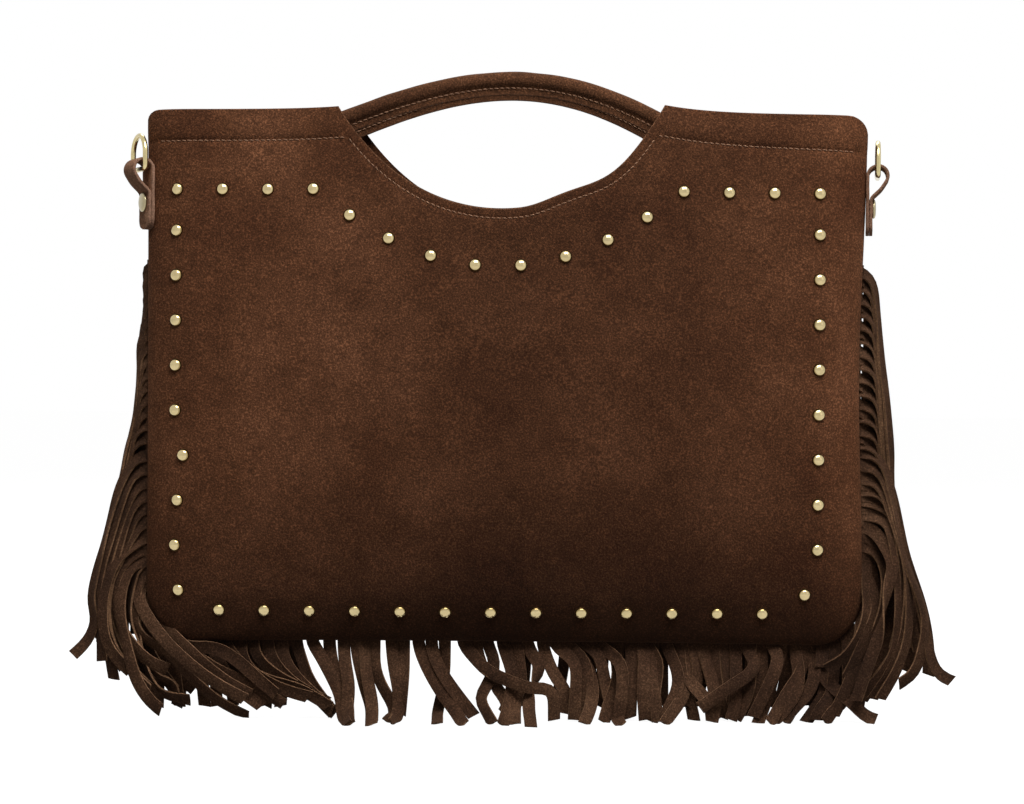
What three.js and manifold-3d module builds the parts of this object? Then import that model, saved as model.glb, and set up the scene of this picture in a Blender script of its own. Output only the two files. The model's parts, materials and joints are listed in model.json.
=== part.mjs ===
// A wide suede handbag with a studded front, a hand notch under two padded handles, and a
// fringe that hangs from the front seam. Millimetres, +Z up, the studded front faces -Y, and
// the fringe ends stand on z = 0.
import * as THREE from 'three';
import { mergeVertices } from 'three/addons/utils/BufferGeometryUtils.js';
import Module from 'manifold-3d';

const wasm = await Module();
wasm.setup();

// Driving dimensions of the bag's body
const bagWidth = 386;
const bagHeight = 284.5;
const standHeight = 43;
const gussetWidth = 24;
const frontSeamY = -8;
const frontEdgeBulge = 14;
const frontCrown = 11;
const rearEdgeBulge = 9;
const rearCrown = 9;
const borderRound = 30;
const bottomCornerRadius = 26;
const topCornerRadius = 8;
const suedeThickness = 1.8;
const liningThickness = 0.8;
const facingDepth = 32;
const clearance = 0.3;

// Hand notch in the top edge of both panels, a little left of the middle
const notchWidth = 174;
const notchCentre = -3.5;
const notchDepth = 54;
const notchRoundShare = 0.757;

// Handles
const handleThickness = 8.5;
const handleFlangeHeight = 3.8;
const handleFlangeThickness = 3.2;
const handleDrop = 2.5;
const handleRise = 22.7;
const handleTuck = 27;
const handleSlope = 17;
const handleTuckFall = 0.5;
const handleFullness = 0.1;

// Fringe
const strandPitch = 7.1;
const strandWidth = 6.2;
const strandThickness = 0.9;
const fringeDrop = 81.5;
const bandOutside = 1.2;
const sideShare = 0.08;
const cornerFan = 0.8;
const rootReach = 5;
const rootBendOut = 2.2;
const rootBendDrop = 4.2;
const sideStrandLength = 135;
const sideHangAngle = 8.5;
const sweepRise = 107;
const leftSweepAngle = 66;
const rightSweepAngle = 46;
const sweepForward = 7;
const sweepRadius = 12;
const sweepCentreRise = 12;
const sweepRun = 80;
const sweepStepBand = 25;
const sweepEntryRise = 8;
const leftSweepReach = 120;
const rightSweepReach = 50;
const footLength = 15;
const footSpread = 11;
const footSlide = 3;
const strandLean = 8;
const leanRoom = 60;
const leastSwing = 0.25;
const straightLength = 4;

// Studs
const studDiameter = 6.3;
const studHeight = 2.7;
const studFieldCentre = -4.8;
const studBottomCentre = -7.4;
const studSideInset = 21.7;
const studTopDrop = 44.5;
const studColumnDrop = 66.5;
const studColumnRise = 26;
const studBottomInset = 47.8;
const studBottomRise = 15.7;
const studArcDrop = 31;
const studArcShoulder = 10;
const studTopCount = 16;
const studColumnCount = 9;
const studBottomCount = 13;
// Studs set by hand a little off their line
const studStray = { left_06: 4.4, left_07: 1.4, left_09: 1.8, right_09: -6.4 };

// Tabs, rings and rivets
const tabWidth = 16;
const tabLength = 38;
const tabLayer = 2.1;
const tabLoopRadius = 6.2;
const tabNeckBelowLoop = 11;
const tabNeckCurve = 4;
const tabLoopTurn = 35;
const tabEndRadius = 6;
const tabDrop = 65.5;
const leftTabTurn = 28;
const rightTabTurn = 8;
const rightTabSetBack = 3;
const ringWire = 2.8;
const ringSideGap = 0.5;
const ringHeight = 21;
const ringBend = 1.5;
const rivetDiameter = 10.5;
const rivetHeight = 1.5;
const rivetAboveEnd = 14.5;

// Sizes worked out from the driving ones
const halfWidth = bagWidth / 2;
const halfNotch = notchWidth / 2;
const bagTop = standHeight + bagHeight;
const rearSeamY = frontSeamY + gussetWidth;
const bandInside = suedeThickness;
const fringeTop = bagTop - fringeDrop;
const sweepLevel = standHeight + sweepRise;
const studColumnHalf = halfWidth - studSideInset;
const degree = Math.PI / 180;

// Colours of the materials
const materials = {
  suede: { color: 0x4a2a1c, roughness: 0.95, metalness: 0 },
  fringe: { color: 0x452c20, roughness: 0.95, metalness: 0 },
  lining: { color: 0x2a1a14, roughness: 0.9, metalness: 0 },
  tab: { color: 0x7a4c36, roughness: 0.9, metalness: 0 },
  brass: { color: 0xd8c48a, roughness: 0.25, metalness: 1 },
};

const bag = new THREE.Group();

function addPiece(name, materialName, geometry) {
  const material = new THREE.MeshStandardMaterial(materials[materialName]);
  const mesh = new THREE.Mesh(geometry, material);
  mesh.name = name;
  bag.add(mesh);
  return mesh;
}

// A geometry whose equal corners are shared, with nothing but positions, and no empty faces
function weld(geometry) {
  const bare = geometry.clone();
  bare.deleteAttribute('normal');
  bare.deleteAttribute('uv');
  const merged = mergeVertices(bare, 1e-4);
  const corners = merged.index.array;
  const kept = [];
  for (let i = 0; i < corners.length; i += 3) {
    const [a, b, c] = corners.slice(i, i + 3);
    if (a !== b && b !== c && c !== a) kept.push(a, b, c);
  }
  merged.setIndex(kept);
  return merged;
}

function solidOf(geometry) {
  const bare = weld(geometry);
  const mesh = new wasm.Mesh({
    numProp: 3,
    vertProperties: new Float32Array(bare.attributes.position.array),
    triVerts: new Uint32Array(bare.index.array),
  });
  return new wasm.Manifold(mesh);
}

function geometryOf(solid) {
  const mesh = solid.getMesh();
  const geometry = new THREE.BufferGeometry();
  geometry.setAttribute('position', new THREE.BufferAttribute(mesh.vertProperties, 3));
  geometry.setIndex(new THREE.BufferAttribute(mesh.triVerts, 1));
  geometry.computeVertexNormals();
  return geometry;
}

function signedVolume(points, triangles) {
  let sum = 0;
  for (let i = 0; i < triangles.length; i += 3) {
    const [a, b, c] = [0, 1, 2].map((k) => points[triangles[i + k]]);
    sum += a.dot(new THREE.Vector3().crossVectors(b, c)) / 6;
  }
  return sum;
}

// A closed geometry whose faces point out, whichever way round its triangles were listed
function geometryFrom(points, triangles) {
  const geometry = new THREE.BufferGeometry().setFromPoints(points);
  geometry.setIndex(signedVolume(points, triangles) < 0 ? triangles.reverse() : triangles);
  const welded = weld(geometry);
  welded.computeVertexNormals();
  return welded;
}

// Rows of sections joined side to side: each section is a closed ring of points.
// The first and last sections are capped unless the loop is closed.
function loft(sections, closed = false) {
  const count = sections[0].length;
  const triangles = [];
  const last = closed ? sections.length : sections.length - 1;
  for (let i = 0; i < last; i += 1) {
    const here = i * count;
    const next = ((i + 1) % sections.length) * count;
    for (let j = 0; j < count; j += 1) {
      const k = (j + 1) % count;
      triangles.push(here + j, next + j, next + k);
      triangles.push(here + j, next + k, here + k);
    }
  }
  if (!closed) {
    const end = (sections.length - 1) * count;
    for (let j = 1; j < count - 1; j += 1) {
      triangles.push(0, j, j + 1);
      triangles.push(end, end + j + 1, end + j);
    }
  }
  return geometryFrom(sections.flat(), triangles);
}

// The corners of a flat strand along a path, four at each centre: its width lies along the
// given directions
function strandRings(centres, widthDirections, endTangent) {
  return centres.map((centre, i) => {
    const before = centres[Math.max(i - 1, 0)];
    const after = centres[Math.min(i + 1, centres.length - 1)];
    const flat = endTangent && i >= centres.length - 2;
    const tangent = flat ? endTangent : after.clone().sub(before).normalize();
    const across = widthDirections[i].clone();
    across.addScaledVector(tangent, -across.dot(tangent)).normalize();
    const normal = new THREE.Vector3().crossVectors(tangent, across);
    const corner = (a, b) => centre.clone()
      .addScaledVector(across, (a * strandWidth) / 2)
      .addScaledVector(normal, (b * strandThickness) / 2);
    return [corner(-1, 1), corner(1, 1), corner(1, -1), corner(-1, -1)];
  });
}

// The bag's outline

function bottomZ(x) {
  const past = Math.abs(x) - (halfWidth - bottomCornerRadius);
  if (past <= 0) return standHeight;
  const r = bottomCornerRadius;
  return standHeight + r - Math.sqrt(Math.max(r * r - past * past, 0));
}

function topZ(x) {
  const t = Math.abs(x - notchCentre) / halfNotch;
  if (t < 1) {
    const rise = notchRoundShare * t ** 2 + (1 - notchRoundShare) * t ** 4;
    return bagTop - notchDepth * (1 - rise);
  }
  const past = Math.abs(x) - (halfWidth - topCornerRadius);
  if (past <= 0) return bagTop;
  const r = topCornerRadius;
  return bagTop - r + Math.sqrt(Math.max(r * r - past * past, 0));
}

// Distance inward from the side and bottom edges
function edgeDistance(x, z) {
  const r = bottomCornerRadius;
  const qx = Math.abs(x) - (halfWidth - r);
  const qz = standHeight + r - z;
  const outside = Math.hypot(Math.max(qx, 0), Math.max(qz, 0));
  return r - outside - Math.min(Math.max(qx, qz), 0);
}

// The direction out of the seam line, within the seam's plane
function seamOutward(x, z) {
  const qx = Math.abs(x) - (halfWidth - bottomCornerRadius);
  const qz = standHeight + bottomCornerRadius - z;
  if (qx > 0 && qz > 0) return new THREE.Vector3(Math.sign(x) * qx, 0, -qz).normalize();
  return qx > qz ? new THREE.Vector3(Math.sign(x), 0, 0) : new THREE.Vector3(0, 0, -1);
}

// How far a stuffed panel stands off its seam, as a share of its edge bulge and its crown
function pillow(x, z, edgeBulge, crown) {
  const inward = Math.min(Math.max(edgeDistance(x, z), 0), borderRound) / borderRound;
  const round = Math.sqrt(1 - (1 - inward) ** 2);
  const across = 1 - (x / halfWidth) ** 2;
  const up = 1 - (((z - standHeight) / bagHeight - 0.3) / 0.7) ** 2;
  return round * (edgeBulge + crown * across * up);
}

function frontY(x, z) {
  return frontSeamY - pillow(x, z, frontEdgeBulge, frontCrown);
}

function rearY(x, z) {
  return rearSeamY + pillow(x, z, rearEdgeBulge, rearCrown);
}

// Steps from the edge inward, close together where the border rolls under
function borderSteps(count) {
  return Array.from({ length: count }, (_, i) => (
    borderRound * (1 - Math.cos((i / count) * 90 * degree))
  ));
}

function evenSteps(from, to, count) {
  return Array.from({ length: count }, (_, i) => from + ((to - from) * (i + 1)) / count);
}

function columnPlaces() {
  const border = borderSteps(4).map((step) => -halfWidth + step);
  const inside = halfWidth - borderRound;
  const notchLeft = notchCentre - halfNotch;
  const notchRight = notchCentre + halfNotch;
  return [
    ...border,
    -inside,
    ...evenSteps(-inside, notchLeft, 2),
    ...evenSteps(notchLeft, notchRight, 8),
    ...evenSteps(notchRight, inside, 2),
    ...border.reverse().map((x) => -x),
  ];
}

function rowPlaces(x) {
  const low = bottomZ(x);
  const facingLevel = topZ(x) - facingDepth;
  const rows = borderSteps(4).map((step) => low + step);
  rows.push(low + borderRound);
  rows.push(...evenSteps(low + borderRound, facingLevel, 4));
  rows.push(topZ(x));
  return rows;
}

function surfaceNormal(grid, i, j) {
  const rows = grid[0].length - 1;
  const alongX = grid[Math.min(i + 1, grid.length - 1)][j].clone()
    .sub(grid[Math.max(i - 1, 0)][j]);
  const alongZ = grid[i][Math.min(j + 1, rows)].clone()
    .sub(grid[i][Math.max(j - 1, 0)]);
  return alongX.cross(alongZ).normalize();
}

function surfaceGrid(surfaceY) {
  return columnPlaces().map((x) => (
    rowPlaces(x).map((z) => new THREE.Vector3(x, surfaceY(x, z), z))
  ));
}

// The same grid moved into the bag, square to its surface and, at the seam, square to the seam
function inset(grid, facing, depth) {
  return grid.map((column, i) => column.map((point, j) => {
    const atSeam = i === 0 || i === grid.length - 1 || j === 0;
    const normal = atSeam
      ? seamOutward(point.x, point.z)
      : surfaceNormal(grid, i, j).multiplyScalar(facing);
    return point.clone().addScaledVector(normal, -depth);
  }));
}

// A panel of even thickness between its outer face and the same face moved inward
function panel(surfaceY, facing) {
  const grid = surfaceGrid(surfaceY);
  const columns = grid.length;
  const rows = grid[0].length;
  const outer = grid.flat();
  const inner = inset(grid, facing, suedeThickness).flat();
  const triangles = [];
  // The rear wall's faces are split along the other diagonal, as the lining's are
  const face = (a, b, c) => triangles.push(...(facing > 0 ? [a, b, c] : [a, c, b]));
  const quad = (a, b, c, d) => {
    const [p, q, r, t] = facing > 0 ? [a, b, c, d] : [b, c, d, a];
    face(p, q, r);
    face(p, r, t);
  };
  const out = (i, j) => i * rows + j;
  const back = (i, j) => columns * rows + i * rows + j;
  for (let i = 0; i < columns - 1; i += 1) {
    for (let j = 0; j < rows - 1; j += 1) {
      quad(out(i, j), out(i + 1, j), out(i + 1, j + 1), out(i, j + 1));
      quad(back(i, j), back(i, j + 1), back(i + 1, j + 1), back(i + 1, j));
    }
    quad(out(i, 0), back(i, 0), back(i + 1, 0), out(i + 1, 0));
    quad(out(i, rows - 1), out(i + 1, rows - 1), back(i + 1, rows - 1), back(i, rows - 1));
  }
  for (let j = 0; j < rows - 1; j += 1) {
    quad(out(0, j), out(0, j + 1), back(0, j + 1), back(0, j));
    quad(out(columns - 1, j), back(columns - 1, j), back(columns - 1, j + 1),
      out(columns - 1, j + 1));
  }
  return geometryFrom(outer.concat(inner), triangles);
}

// The seam line, from the left side round the bottom to the right side, as x and z
function seamPath(topLevel) {
  const r = bottomCornerRadius;
  const path = new THREE.Path();
  path.moveTo(-halfWidth, topLevel);
  path.lineTo(-halfWidth, standHeight + r);
  path.absarc(-halfWidth + r, standHeight + r, r, Math.PI, 1.5 * Math.PI, false);
  path.lineTo(halfWidth - r, standHeight);
  path.absarc(halfWidth - r, standHeight + r, r, 1.5 * Math.PI, 2 * Math.PI, false);
  path.lineTo(halfWidth, topLevel);
  return path;
}

// Points of the seam line with the outward direction at each
function seamStations(topLevel, cornerSteps) {
  const r = bottomCornerRadius;
  const stations = [{ x: -halfWidth, z: topLevel, outX: -1, outZ: 0 }];
  [-1, 1].forEach((side) => {
    for (let i = 0; i <= cornerSteps; i += 1) {
      const turn = (i / cornerSteps) * 90 * degree;
      const angle = side < 0 ? Math.PI + turn : 1.5 * Math.PI + turn;
      const outX = Math.cos(angle);
      const outZ = Math.sin(angle);
      stations.push({
        x: side * (halfWidth - r) + r * outX,
        z: standHeight + r + r * outZ,
        outX,
        outZ,
      });
    }
  });
  stations.push({ x: halfWidth, z: topLevel, outX: 1, outZ: 0 });
  return stations;
}

// A strip that follows the seam, between two depths in y and two offsets from the seam
function seamBand(topLevel, nearY, farY, insideOffset, outsideOffset) {
  const sections = seamStations(topLevel, 5).map((s) => {
    const at = (offset, y) => new THREE.Vector3(s.x + s.outX * offset, y, s.z + s.outZ * offset);
    return [
      at(-insideOffset, nearY),
      at(outsideOffset, nearY),
      at(outsideOffset, farY),
      at(-insideOffset, farY),
    ];
  });
  return loft(sections);
}

// Front and rear panels, gusset
const frontPanel = addPiece('front_panel', 'suede', panel(frontY, 1));
addPiece('rear_panel', 'suede', panel(rearY, -1));

const bandNearY = frontSeamY + clearance;
const bandFarY = bandNearY + strandThickness;
const gussetTop = bagTop - topCornerRadius;
addPiece('gusset', 'suede', seamBand(
  gussetTop, bandFarY + clearance, rearSeamY - clearance, suedeThickness, 0,
));

// Lining: a pouch with an open mouth, parallel to the panels up to their facing. It takes
// every second line of their grids, and its flatter faces lie inside theirs.
function pouchSolid(depth, openAbove) {
  const everySecond = (list) => list.filter((_, i) => i % 2 === 0);
  const front = everySecond(inset(surfaceGrid(frontY), 1, depth));
  const rear = everySecond(inset(surfaceGrid(rearY), -1, depth));
  const wall = (column) => {
    const points = everySecond(column.slice(0, -1));
    const rim = points[points.length - 1];
    points.push(rim.clone().setZ(rim.z + openAbove));
    return points;
  };
  return solidOf(loft(front.map((column, i) => (
    wall(column).concat(wall(rear[i]).reverse())
  ))));
}

const liningGap = suedeThickness + 2 * clearance;
const liningSolid = pouchSolid(liningGap, 1)
  .subtract(pouchSolid(liningGap + liningThickness, 12));
addPiece('lining', 'lining', geometryOf(liningSolid));

// Handles: a padded tube with a stitched flange beneath, tucked behind the notch's corners.
// Its middle is level with handleLevel where it passes them.
const handleLevel = bagTop - handleDrop - handleThickness / 2;

function handleSection() {
  const r = handleThickness / 2;
  const half = handleFlangeThickness / 2;
  const startTurn = Math.asin(half / r);
  const steps = 8;
  const ring = Array.from({ length: steps + 1 }, (_, i) => {
    const angle = startTurn + ((2 * Math.PI - 2 * startTurn) * i) / steps;
    return { side: r * Math.sin(angle), up: -r * Math.cos(angle) };
  });
  const flangeEnd = -r - handleFlangeHeight;
  return ring.concat([{ side: -half, up: flangeEnd }, { side: half, up: flangeEnd }]);
}

function handle(centreY) {
  const slope = Math.tan(handleSlope * degree);
  const tuckX = halfNotch + handleTuck;
  const arch = (x) => {
    const past = Math.abs(x) - halfNotch;
    if (past > 0) return handleLevel - past * slope * handleTuckFall;
    const t = Math.abs(x) / halfNotch;
    return handleLevel + handleRise * (1 - t ** 2) * (1 - handleFullness * t ** 2);
  };
  const places = [-tuckX, ...evenSteps(-tuckX, tuckX, 16)];
  const sections = places.map((x) => {
    const centre = new THREE.Vector3(notchCentre + x, centreY, arch(x));
    const tangent = new THREE.Vector3(2, 0, arch(x + 1) - arch(x - 1)).normalize();
    const up = new THREE.Vector3(-tangent.z, 0, tangent.x);
    return handleSection().map((point) => (
      centre.clone().add(new THREE.Vector3(0, point.side, 0)).addScaledVector(up, point.up)
    ));
  });
  return loft(sections);
}

const handleGap = suedeThickness + 2 * clearance + handleThickness / 2;
const frontHandleY = frontY(halfNotch, handleLevel) + handleGap;
const rearHandleY = rearY(halfNotch, handleLevel) - handleGap;
addPiece('front_handle', 'suede', handle(frontHandleY));
addPiece('rear_handle', 'suede', handle(rearHandleY));

// Fringe
const seamLevel = (bandNearY + bandFarY) / 2;
const yAxis = new THREE.Vector3(0, 1, 0);
const xAxis = new THREE.Vector3(1, 0, 0);

// The width turns from lying in the seam's plane to lying across it
function sideWidthDirections(centres) {
  const turnLength = 2;
  return centres.map((centre, i) => {
    const before = centres[Math.max(i - 1, 0)];
    const after = centres[Math.min(i + 1, centres.length - 1)];
    const tangent = after.clone().sub(before).normalize();
    const inPlane = new THREE.Vector3().crossVectors(tangent, yAxis).normalize();
    const share = Math.min(i / turnLength, 1);
    const turn = 90 * (1 - share) * degree;
    return yAxis.clone().multiplyScalar(Math.cos(turn)).addScaledVector(inPlane, Math.sin(turn));
  });
}

// A strand of the side: out of the seam and down. A low one bends round the bag's lower
// corner, on arcs about one centre, and runs inward to the ground.
function sideStrand(root, side) {
  const startOut = rootReach + rootBendOut;
  const startZ = root.z - rootBendDrop;
  const outward = Math.tan(sideHangAngle * degree);
  const at = (out, depth, z) => new THREE.Vector3(side * (halfWidth + out), depth, z);
  const rooted = [
    new THREE.Vector3(root.x - side, seamLevel, root.z),
    at(rootReach, seamLevel, root.z),
  ];
  if (root.z > sweepLevel) {
    const hang = (share) => at(
      startOut + outward * sideStrandLength * share, seamLevel, startZ - sideStrandLength * share,
    );
    return rooted.concat([hang(0), hang(0.5), hang(1)]);
  }
  const depth = seamLevel - sweepForward;
  const centre = { out: -sweepRadius, z: standHeight + sweepCentreRise };
  const entryOut = startOut + outward * Math.max(startZ - centre.z, 0);
  const radius = entryOut - centre.out;
  const angle = (side < 0 ? leftSweepAngle : rightSweepAngle) * degree;
  const arc = (turn) => at(
    centre.out + radius * Math.cos(turn), depth, centre.z - radius * Math.sin(turn),
  );
  const end = arc(angle);
  const run = Math.min(sweepRun, (end.z - strandThickness - 1) / Math.cos(angle));
  const tip = end.clone().add(
    new THREE.Vector3(-side * Math.sin(angle) * run, 0, -Math.cos(angle) * run),
  );
  const nearCorner = startZ < centre.z + sweepStepBand;
  const upper = at(startOut, nearCorner ? (seamLevel + depth) / 2 : seamLevel, startZ);
  const entry = startZ > centre.z + sweepEntryRise ? [upper, arc(0)] : [upper];
  return rooted.concat(entry, [arc(angle * 0.5), end, tip]);
}

// A strand of the bottom: down to the ground, where its foot turns forward or back
function bottomStrand(root, index) {
  const leftRoom = root.x + halfWidth - leftSweepReach;
  const rightRoom = halfWidth - rightSweepReach - root.x;
  const room = Math.min(leftRoom, rightRoom);
  const back = index % 2 === 1 || room < 0;
  const foot = back ? 1 : -1;
  const swing = strandLean * Math.min(Math.max(room / leanRoom, leastSwing), 1);
  const fan = Math.max(Math.abs(root.x) - (halfWidth - bottomCornerRadius), 0) * cornerFan;
  const lean = swing * Math.sin(back ? index * 0.31 + 2 : index * 0.35)
    + Math.sign(root.x) * fan;
  const floor = strandThickness / 2;
  const drop = root.z - floor;
  const place = (share, spread, z) => (
    new THREE.Vector3(root.x + lean * share, seamLevel + foot * spread, z)
  );
  const out = seamOutward(root.x, root.z);
  const straight = new THREE.Vector3(root.x, seamLevel, root.z)
    .addScaledVector(out, bandOutside + straightLength);
  return {
    foot,
    along: new THREE.Vector3(-out.z, 0, out.x),
    centres: [
      place(0, 0, root.z + 1),
      straight,
      place(0.75, footSpread * 0.6, root.z - drop * 0.75),
      place(1, footSpread + footSlide, floor),
      place(1.1, footSpread + footLength, floor),
    ],
  };
}

function strandFrom(root, index) {
  if (Math.abs(root.x) > halfWidth - bottomCornerRadius * sideShare) {
    const centres = sideStrand(root, Math.sign(root.x));
    return strandRings(centres, sideWidthDirections(centres), null).slice(1);
  }
  const { foot, along, centres } = bottomStrand(root, index);
  const directions = centres.map((_, i) => (i < 2 ? along : xAxis));
  return strandRings(centres, directions, new THREE.Vector3(0, foot, 0)).slice(1);
}

// One strip of suede, held along the seam and cut into strands: a band whose outer edge runs
// on into each strand
function fringeGeometry() {
  const path = seamPath(fringeTop);
  const length = path.getLength();
  const count = Math.floor(length / strandPitch);
  const pitch = length / count;
  const points = [];
  const triangles = [];
  const quad = (a, b, c, d) => triangles.push(a, b, c, a, c, d);
  const addRing = (ring) => {
    points.push(...ring);
    return points.length - 4;
  };
  const bandRing = (distance) => {
    const share = Math.min(Math.max(distance / length, 0), 1);
    const point = path.getPointAt(share);
    const out = seamOutward(point.x, point.y);
    const at = (offset, y) => (
      new THREE.Vector3(point.x, y, point.y).addScaledVector(out, offset)
    );
    return addRing([
      at(-bandInside, bandNearY),
      at(bandOutside, bandNearY),
      at(bandOutside, bandFarY),
      at(-bandInside, bandFarY),
    ]);
  };
  const joinRings = (from, to, skipped) => {
    for (let j = 0; j < 4; j += 1) {
      const k = (j + 1) % 4;
      if (j !== skipped) quad(from + j, to + j, to + k, from + k);
    }
  };
  const outerSide = 1;
  const start = bandRing(0);
  let last = start;
  for (let i = 0; i < count; i += 1) {
    const middle = (i + 0.5) * pitch;
    const near = bandRing(middle - strandWidth / 2);
    const far = bandRing(middle + strandWidth / 2);
    joinRings(last, near, null);
    joinRings(near, far, outerSide);
    const point = path.getPointAt(middle / length);
    let edge = [near + 1, far + 1, far + 2, near + 2];
    strandFrom({ x: point.x, z: point.y }, i).forEach((ring) => {
      const first = addRing(ring);
      const next = [first, first + 1, first + 2, first + 3];
      for (let j = 0; j < 4; j += 1) {
        const k = (j + 1) % 4;
        quad(edge[j], edge[k], next[k], next[j]);
      }
      edge = next;
    });
    quad(...edge);
    last = far;
  }
  const end = bandRing(length);
  joinRings(last, end, null);
  quad(start, start + 1, start + 2, start + 3);
  quad(end, end + 3, end + 2, end + 1);
  return geometryFrom(points, triangles);
}

addPiece('fringe', 'fringe', fringeGeometry());

// Studs: domes seated on the front panel

function studGeometry() {
  const r = studDiameter / 2;
  const profile = [
    new THREE.Vector2(0, 0),
    new THREE.Vector2(r, 0),
    new THREE.Vector2(r * 0.82, studHeight * 0.65),
    new THREE.Vector2(0, studHeight),
  ];
  return weld(new THREE.LatheGeometry(profile, 8));
}

function seatOnFront(mesh, x, z) {
  const ray = new THREE.Raycaster(new THREE.Vector3(x, -bagWidth, z), yAxis);
  const hit = ray.intersectObject(frontPanel)[0];
  const normal = hit.face.normal;
  mesh.quaternion.setFromUnitVectors(yAxis, normal);
  mesh.position.copy(hit.point).addScaledVector(normal, clearance);
}

function addStud(row, index, x, z) {
  const place = `${row}_${String(index).padStart(2, '0')}`;
  const stud = addPiece(`stud_${place}`, 'brass', studGeometry());
  seatOnFront(stud, x + (studStray[place] ?? 0), z);
}

function topRowPoints() {
  const row = new THREE.SplineCurve();
  const flat = bagTop - studTopDrop;
  const lowest = bagTop - notchDepth - studArcDrop;
  const rise = (flat - lowest) / (halfNotch + studArcShoulder) ** 2;
  const samples = 60;
  for (let i = 0; i <= samples; i += 1) {
    const x = -studColumnHalf + (2 * studColumnHalf * i) / samples;
    row.points.push(new THREE.Vector2(x, Math.min(flat, lowest + rise * x * x)));
  }
  return row.getSpacedPoints(studTopCount - 1);
}

topRowPoints().forEach((point, i) => {
  addStud('top', i + 1, studFieldCentre + point.x, point.y);
});
const columnPitch = (bagHeight - studColumnDrop - studColumnRise) / (studColumnCount - 1);
for (let i = 0; i < studColumnCount; i += 1) {
  const z = bagTop - studColumnDrop - i * columnPitch;
  addStud('left', i + 1, studFieldCentre - studColumnHalf, z);
  addStud('right', i + 1, studFieldCentre + studColumnHalf, z);
}
const bottomRowHalf = halfWidth - studBottomInset;
for (let i = 0; i < studBottomCount; i += 1) {
  const x = studBottomCentre + bottomRowHalf * ((2 * i) / (studBottomCount - 1) - 1);
  addStud('bottom', i + 1, x, standHeight + studBottomRise);
}

// Tabs with their rings and rivets

// The folded strip from the side: away from the bag, and up from its lower end
function tabProfile() {
  const loopUp = tabLength - tabLoopRadius;
  const neck = loopUp - tabNeckBelowLoop;
  const shape = new THREE.Shape();
  shape.moveTo(0, 0);
  shape.lineTo(2 * tabLayer, 0);
  shape.lineTo(2 * tabLayer, neck);
  const turn = tabLoopTurn * degree;
  const loopStart = {
    x: tabLoopRadius * (1 + Math.cos(turn)),
    y: loopUp - tabLoopRadius * Math.sin(turn),
  };
  shape.quadraticCurveTo(2 * tabLayer, neck + tabNeckCurve, loopStart.x, loopStart.y);
  shape.absarc(tabLoopRadius, loopUp, tabLoopRadius, -turn, 180 * degree, false);
  shape.lineTo(0, 0);
  const hole = new THREE.Path();
  const inner = tabLoopRadius - tabLayer;
  hole.moveTo(tabLayer, neck + tabNeckCurve / 2);
  hole.lineTo(tabLayer, loopUp);
  hole.absarc(tabLoopRadius, loopUp, inner, 180 * degree, -turn, true);
  hole.lineTo(tabLayer, neck + tabNeckCurve / 2);
  shape.holes.push(hole);
  return shape;
}

// The strip from its face: straight sides and a rounded lower end
function tabFaceOutline() {
  const half = tabWidth / 2;
  const r = tabEndRadius;
  const shape = new THREE.Shape();
  shape.moveTo(-half, tabLength + 1);
  shape.lineTo(-half, r);
  shape.absarc(-half + r, r, r, Math.PI, 1.5 * Math.PI, false);
  shape.absarc(half - r, r, r, 1.5 * Math.PI, 2 * Math.PI, false);
  shape.lineTo(half, tabLength + 1);
  return shape;
}

// In the tab's own frame, x leads away from the bag, y along the width and z up
function tabGeometry() {
  const folded = new THREE.ExtrudeGeometry(tabProfile(), {
    depth: tabWidth, bevelEnabled: false, curveSegments: 6,
  });
  folded.rotateX(90 * degree);
  folded.translate(0, tabWidth / 2, 0);
  const reach = 2 * tabLoopRadius + 2;
  const outline = new THREE.ExtrudeGeometry(tabFaceOutline(), {
    depth: reach, bevelEnabled: false, curveSegments: 4,
  });
  outline.rotateX(90 * degree);
  outline.rotateZ(90 * degree);
  outline.translate(-1, 0, 0);
  return geometryOf(solidOf(folded).intersect(solidOf(outline)));
}

// A round wire along a closed flat loop of y and z points
function wireLoop(points, wire, sides) {
  const sections = points.map((point, i) => {
    const before = points[(i + points.length - 1) % points.length];
    const after = points[(i + 1) % points.length];
    const tangent = after.clone().sub(before).normalize();
    const outward = new THREE.Vector2(tangent.y, -tangent.x);
    return Array.from({ length: sides }, (_, k) => {
      const angle = (k / sides) * 2 * Math.PI;
      const inPlane = (Math.cos(angle) * wire) / 2;
      return new THREE.Vector3(
        (Math.sin(angle) * wire) / 2,
        point.x + outward.x * inPlane,
        point.y + outward.y * inPlane,
      );
    });
  });
  return loft(sections, true);
}

// A D-ring about its straight bar, which lies along y at the origin
function ringGeometry() {
  const half = tabWidth / 2 + ringSideGap + ringWire / 2;
  const rise = ringHeight - ringWire;
  const shoulder = rise - half;
  const points = [
    new THREE.Vector2(-half + ringBend, 0),
    new THREE.Vector2(0, 0),
    new THREE.Vector2(half - ringBend, 0),
    new THREE.Vector2(half, ringBend),
  ];
  const steps = 10;
  for (let i = 0; i <= steps; i += 1) {
    const angle = (i / steps) * Math.PI;
    points.push(new THREE.Vector2(half * Math.cos(angle), shoulder + half * Math.sin(angle)));
  }
  points.push(new THREE.Vector2(-half, ringBend));
  return wireLoop(points, ringWire, 6);
}

function rivetGeometry() {
  const r = rivetDiameter / 2;
  const profile = [
    new THREE.Vector2(0, 0),
    new THREE.Vector2(r, 0),
    new THREE.Vector2(r, rivetHeight * 0.4),
    new THREE.Vector2(r - rivetHeight * 0.6, rivetHeight),
    new THREE.Vector2(0, rivetHeight),
  ];
  const geometry = weld(new THREE.LatheGeometry(profile, 12));
  geometry.rotateZ(-90 * degree);
  return geometry;
}

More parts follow.
